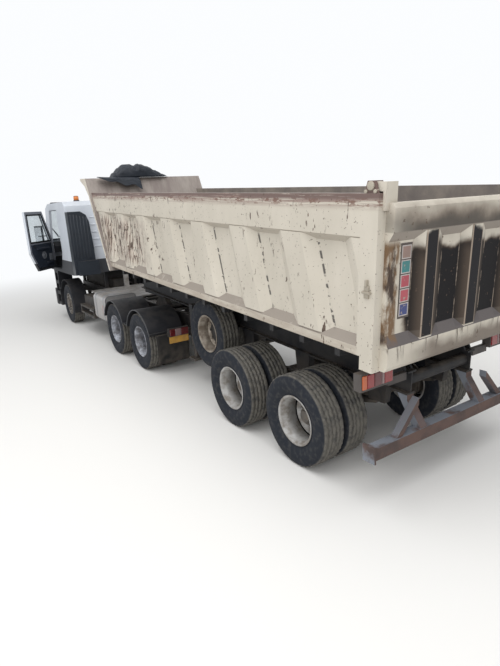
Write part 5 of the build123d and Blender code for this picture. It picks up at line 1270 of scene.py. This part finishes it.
fins = generator("fins", (("Count", "Int"), ("First", "Vector"), ("Step", "Vector"), ("Bar Size", "Vector")), fin_row)
core_metal = painted("core_metal", (0.090, 0.092, 0.095, 1), 0.5, 0.5, metal=0.5)
RADIATOR_Y = -12.265
RADIATOR_HALF = 0.298
RADIATOR_POST = 0.0135
FIN_COUNT, FIN_STEP = 44, 0.010
TUBE_COUNT, TUBE_IN = 7, 0.057
generated("radiator_fins", fins, "tractor", Count=FIN_COUNT, First=tuple(on_road(0.0, RADIATOR_Y, 0.870)),
          Step=(0.0, 0.0, FIN_STEP), Bar_Size=(2 * RADIATOR_HALF - 0.050, 0.036, 0.0022), Finish=core_metal)
generated("radiator_tubes", fins, "tractor", Count=TUBE_COUNT,
          First=tuple(on_road(-RADIATOR_HALF + TUBE_IN, RADIATOR_Y, 1.085)),
          Step=(2 * (RADIATOR_HALF - TUBE_IN) / (TUBE_COUNT - 1), 0.0, 0.0), Bar_Size=(0.006, 0.030, 0.440),
          Finish=core_metal)
posts, feet = [], []
for side in (-1, 1):
    middle = side * (RADIATOR_HALF - RADIATOR_POST)
    posts.append(((middle - RADIATOR_POST, RADIATOR_Y - 0.024, 0.850),
                  (middle + RADIATOR_POST, RADIATOR_Y + 0.024, 1.310)))
    low, high = sorted((side * (RADIATOR_HALF - 0.050), side * 0.380))
    feet.append(((low, RADIATOR_Y - 0.020, 0.790), (high, RADIATOR_Y + 0.020, 0.846)))
rails = [((-RADIATOR_HALF, RADIATOR_Y - 0.026, low), (RADIATOR_HALF, RADIATOR_Y + 0.026, high))
         for low, high in ((1.298, 1.318), (0.842, 0.866))]
rounded("radiator_frame", posts + rails + feet, on_road, chassis_black, "tractor")

# Mudflaps: plain black rubber sheets, a little bowed and dusty at the foot.
# They are bolted under the lamp bar, behind the twin drive wheels.
flap_rubber = painted("flap_rubber", (0.014, 0.014, 0.015, 1), 0.8, 0.35, low=0.1, high=0.8)
MUDFLAP_WIDE = 0.600
MUDFLAP_LONG = 0.530
MUDFLAP_TOP = 0.770
MUDFLAP_THICK = 0.006
MUDFLAP_AT = (0.600, -4.957)
MUDFLAP_STEPS = 12
for word, hand in SIDES:
    bm = bmesh.new()
    rows = []
    for k in range(MUDFLAP_STEPS + 1):
        down = k / MUDFLAP_STEPS
        bow = 0.012 * math.sin(math.pi * down)
        rows.append([(hand * (MUDFLAP_AT[0] + MUDFLAP_WIDE * i / MUDFLAP_STEPS),
                      MUDFLAP_AT[1] + bow + 0.004 * math.sin(i * 1.3 + k * 0.5) * down,
                      MUDFLAP_TOP - MUDFLAP_LONG * down) for i in range(MUDFLAP_STEPS + 1)])
    edges = []
    for thick in (0.0, MUDFLAP_THICK):
        face = [[bm.verts.new(on_road(x, y - thick, z)) for x, y, z in row] for row in rows]
        skin(bm, face)
        edges.append(face[0] + [row[-1] for row in face[1:]] + face[-1][-2::-1] + [row[0] for row in face[-2:0:-1]])
    skin(bm, edges, closed=True)
    solid(f"mudflap_{word}", bm, flap_rubber, "tractor")

# Tarpaulin: black coated cloth bundled on the headboard's lip, two lobes tapering to the right, with a loose flap.
# A sheet built point by point: its folds fan out from the tie between the lobes, and the edges tuck under.
tarp_cloth, tree, shader, place = finish("tarp_cloth", 0.5)
own, axes = bed_axes(tree, place)
weave = times(tree, maths(tree, "PINGPONG", axes["X"], 0.002), maths(tree, "PINGPONG", axes["Z"], 0.002))
creases = spots(tree, own, 9.0, 0.5, 0.3, 7.0)
dusty = dust_on(tree, place, 0.28, 0.0, 9.0)
colour = mix(tree, creases, (0.007, 0.010, 0.015, 1), (0.014, 0.019, 0.028, 1))
coat(tree, shader, mix(tree, dusty, colour, (0.060, 0.062, 0.070, 1)))
bump(tree, shader, maths(tree, "ADD", creases, times(tree, weave, 60000.0)), 0.25, 0.003)
shader.inputs["Specular IOR Level"].default_value = 0.25
TARP_X = (-0.515, 0.735)
TARP_Y = (-7.700, -7.285)
TARP_LOW = 1.937
TARP_WIDE, TARP_DEEP = 150, 60
TARP_TIE = 0.225
CLOTH_THICK = 0.003


def heap(x):
    """The bundle's height along the lip: a round lobe, a crease at the tie, and a long taper."""
    knots = ((TARP_X[0], 0.020), (-0.42, 0.062), (-0.24, 0.140), (-0.06, 0.225), (0.06, 0.268), (0.16, 0.272),
             (TARP_TIE, 0.238), (0.30, 0.268), (0.42, 0.262), (0.54, 0.205), (0.64, 0.110), (TARP_X[1], 0.016))
    for (x0, h0), (x1, h1) in zip(knots, knots[1:]):
        if x <= x1:
            share = (x - x0) / (x1 - x0)
            return h0 + (h1 - h0) * share * share * (3 - 2 * share)
    return knots[-1][1]


def thicken(piece, offset):
    """Gives a sheet its cloth's thickness."""
    thick = piece.modifiers.new("thickness", "SOLIDIFY")
    thick.thickness = CLOTH_THICK
    thick.offset = offset
    bpy.context.view_layer.objects.active = piece
    with bpy.context.temp_override(object=piece, active_object=piece, selected_objects=[piece]):
        bpy.ops.object.modifier_apply(modifier=thick.name)


bm = bmesh.new()
grid = []
for i in range(TARP_WIDE + 1):
    x = TARP_X[0] + (TARP_X[1] - TARP_X[0]) * i / TARP_WIDE
    top = heap(x)
    half = (TARP_Y[1] - TARP_Y[0]) / 2 * min(1.0, 0.35 + top / 0.16)
    row = []
    for k in range(TARP_DEEP + 1):
        turn_at = math.pi * k / TARP_DEEP
        spread = math.copysign(abs(math.cos(turn_at)) ** 0.8, -math.cos(turn_at))
        rise = math.sin(turn_at) ** 0.75
        fan = math.atan2(rise * 0.3 + 0.02, x - TARP_TIE)
        ridge = 1 - abs(noise.noise(Vector((fan * 3.2, spread * 0.8, 5.0))) * 2)
        cross_fold = 1 - abs(noise.noise(Vector((x * 5.0 + spread * 2.0, spread * 3.0, 9.0))) * 2)
        fine_fold = noise.noise(Vector((x * 17.0, spread * 6.0, 2.0)))
        fold = (0.020 * ridge + 0.010 * cross_fold + 0.004 * fine_fold - 0.018) * min(1.0, top / 0.10)
        middle = (TARP_Y[0] + TARP_Y[1]) / 2 + 0.015 * math.sin(x * 9.0)
        y = min(max(middle + half * spread * (1 + fold * 1.5), TARP_Y[0]), TARP_Y[1])
        row.append(bm.verts.new(on_bed(x, y, max(TARP_LOW, TARP_LOW + (top - 0.012) * rise + fold * rise))))
    grid.append(row)
skin(bm, grid)
cloth_area = sum(face.calc_area() for face in bm.faces)
tarp = solid("tarpaulin_bundle", bm, tarp_cloth, "bed")
thicken(tarp, 1.0)
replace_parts(tarp, "tarpaulin")

# The loose flap lies over the headboard's inner edge at the left, its free corner hanging down the slope
LOOSE_AT = (0.190, -7.330, 1.944)
LOOSE_WIDE = 0.880
LOOSE_DROP = 0.255
LOOSE_STEPS = (60, 30)
HEAD_SLOPE = 0.437
bm = bmesh.new()
grid = []
for i in range(LOOSE_STEPS[0] + 1):
    u = i / LOOSE_STEPS[0]
    row = []
    for k in range(LOOSE_STEPS[1] + 1):
        v = k / LOOSE_STEPS[1]
        over = min(1.0, v * 3.0)
        drop = LOOSE_DROP * max(0.03, (1 - u) ** 0.75 * (0.86 + 0.14 * math.cos(u * 16.0))) * v
        fold = 0.010 * (1 - abs(noise.noise(Vector((u * 5.0 + v * 1.5, v * 1.2, 3.0))) * 2))
        row.append(bm.verts.new(on_bed(LOOSE_AT[0] + LOOSE_WIDE * u,
                                       LOOSE_AT[1] + 0.095 * over + HEAD_SLOPE * drop + fold,
                                       LOOSE_AT[2] + 0.012 * math.sin(math.pi * over) - drop)))
    grid.append(row)
skin(bm, grid)
flap_area = sum(face.calc_area() for face in bm.faces)
flap = solid("tarpaulin_flap", bm, tarp_cloth, "bed")
thicken(flap, 0.0)

# Seats and bunk: foam cushions in dark woven cloth, sewn so that they crown between their seams.
# They lie on hard moulded plinths screwed to the cab's floor.
seat_cloth, tree, shader, place = finish("seat_cloth", 0.85)
threads = node(tree, "ShaderNodeTexNoise", {"Vector": place["Object"], "Scale": 260.0}).outputs["Fac"]
worn = spots(tree, place["Object"], 5.0, 0.5, 0.3)
coat(tree, shader, mix(tree, worn, (0.045, 0.048, 0.058, 1), (0.085, 0.086, 0.094, 1)))
shader.inputs["Sheen Weight"].default_value = 0.4
bump(tree, shader, threads, 0.4, 0.001)


def cushion(name, low, high, lean, crown, upright):
    """A padded block between two corners: rounded, crowned, pinched at its seams, leaning back by lean."""
    middle = (Vector(low) + Vector(high)) / 2
    half = (Vector(high) - Vector(low)) / 2
    bm = bmesh.new()
    bmesh.ops.create_cube(bm, size=2.0)
    bmesh.ops.subdivide_edges(bm, edges=bm.edges[:], cuts=17, use_grid_fill=True)
    for vert in bm.verts:
        a, b, c = vert.co
        ball = Vector((a * math.sqrt(max(0.0, 1 - b * b / 2 - c * c / 2 + b * b * c * c / 3)),
                       b * math.sqrt(max(0.0, 1 - a * a / 2 - c * c / 2 + a * a * c * c / 3)),
                       c * math.sqrt(max(0.0, 1 - a * a / 2 - b * b / 2 + a * a * b * b / 3))))
        point = Vector((a, b, c)).lerp(ball, 0.26)
        if upright:
            point.y *= 1 - crown * (1 - (1 - a * a) * (1 - c * c))
        else:
            point.z *= 1 - crown * (1 - (1 - a * a) * (1 - b * b))
        for seam_at in (-0.42, 0.42):
            point *= 1 - 0.035 * math.exp(-((a - seam_at) / 0.05) ** 2)
        at = Vector((point.x * half.x, point.y * half.y, point.z * half.z)) + middle
        vert.co = on_road(at.x, at.y + lean * (at.z - low[2]), at.z)
    piece = solid(name, bm, seat_cloth, "cab")
    return piece


SEAT_X = 0.560
bases = []
for word, x in (("left", SEAT_X), ("right", -SEAT_X)):
    bases.append(cushion(f"seat_base_{word}", (x - 0.236, -11.325, 1.690), (x + 0.236, -10.850, 1.838), 0.0, 0.10,
                         False))
    cushion(f"seat_back_{word}", (x - 0.232, -10.905, 1.840), (x + 0.232, -10.790, 2.476), 0.055, 0.14, True)
    cushion(f"seat_head_{word}", (x - 0.128, -10.848, 2.490), (x + 0.128, -10.760, 2.658), 0.0, 0.16, True)
    rounded(f"seat_plinth_{word}", [((x - 0.225, -11.240, 1.455), (x + 0.225, -10.810, 1.688)),
                                    ((x - 0.060, -10.812, 2.440), (x - 0.045, -10.797, 2.520)),
                                    ((x + 0.045, -10.812, 2.440), (x + 0.060, -10.797, 2.520))],
            on_road, seal_rubber, "cab", 0.010, 2)
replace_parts(bases[0], "seats")
cushion("bunk_mattress", (-1.150, -10.555, 1.800), (1.150, -9.970, 1.948), 0.0, 0.06, False)
rounded("bunk_base", [((-1.150, -10.550, 1.456), (1.150, -9.972, 1.798))], on_road, door_navy, "cab", 0.015, 2)

# Gate hinges and latch: turned steel bosses that hold the gate's pins on plates at the corner posts.
# The latch is a forged block welded to the left post, under worn cream paint.
boss_paint = painted("boss_paint", (0.430, 0.390, 0.320, 1), 0.6, 0.35, dust=(0.150, 0.085, 0.055, 1), high=2.6)
bm = bmesh.new()
for hand in (1, -1):
    for pin_y, pin_z, radius in ((0.200, 1.712, 0.036), (0.150, 1.668, 0.016), (0.250, 1.668, 0.016)):
        turned(bm, [(0.0, 0.0), (0.0, radius), (0.012, radius), (0.015, radius * 0.8), (0.015, 0.0)],
               on_bed(hand * 1.224, pin_y, pin_z), (hand, 0, 0), 24)
solid("gate_pin_bosses", bm, boss_paint, "bed")
rounded("post_latch", [((1.236, 0.190, 0.800), (1.258, 0.240, 0.910)), ((1.236, 0.205, 0.905), (1.270, 0.225, 0.960)),
                       ((1.236, 0.170, 0.840), (1.268, 0.262, 0.862))], on_bed, boss_paint, "bed", 0.005, 2)
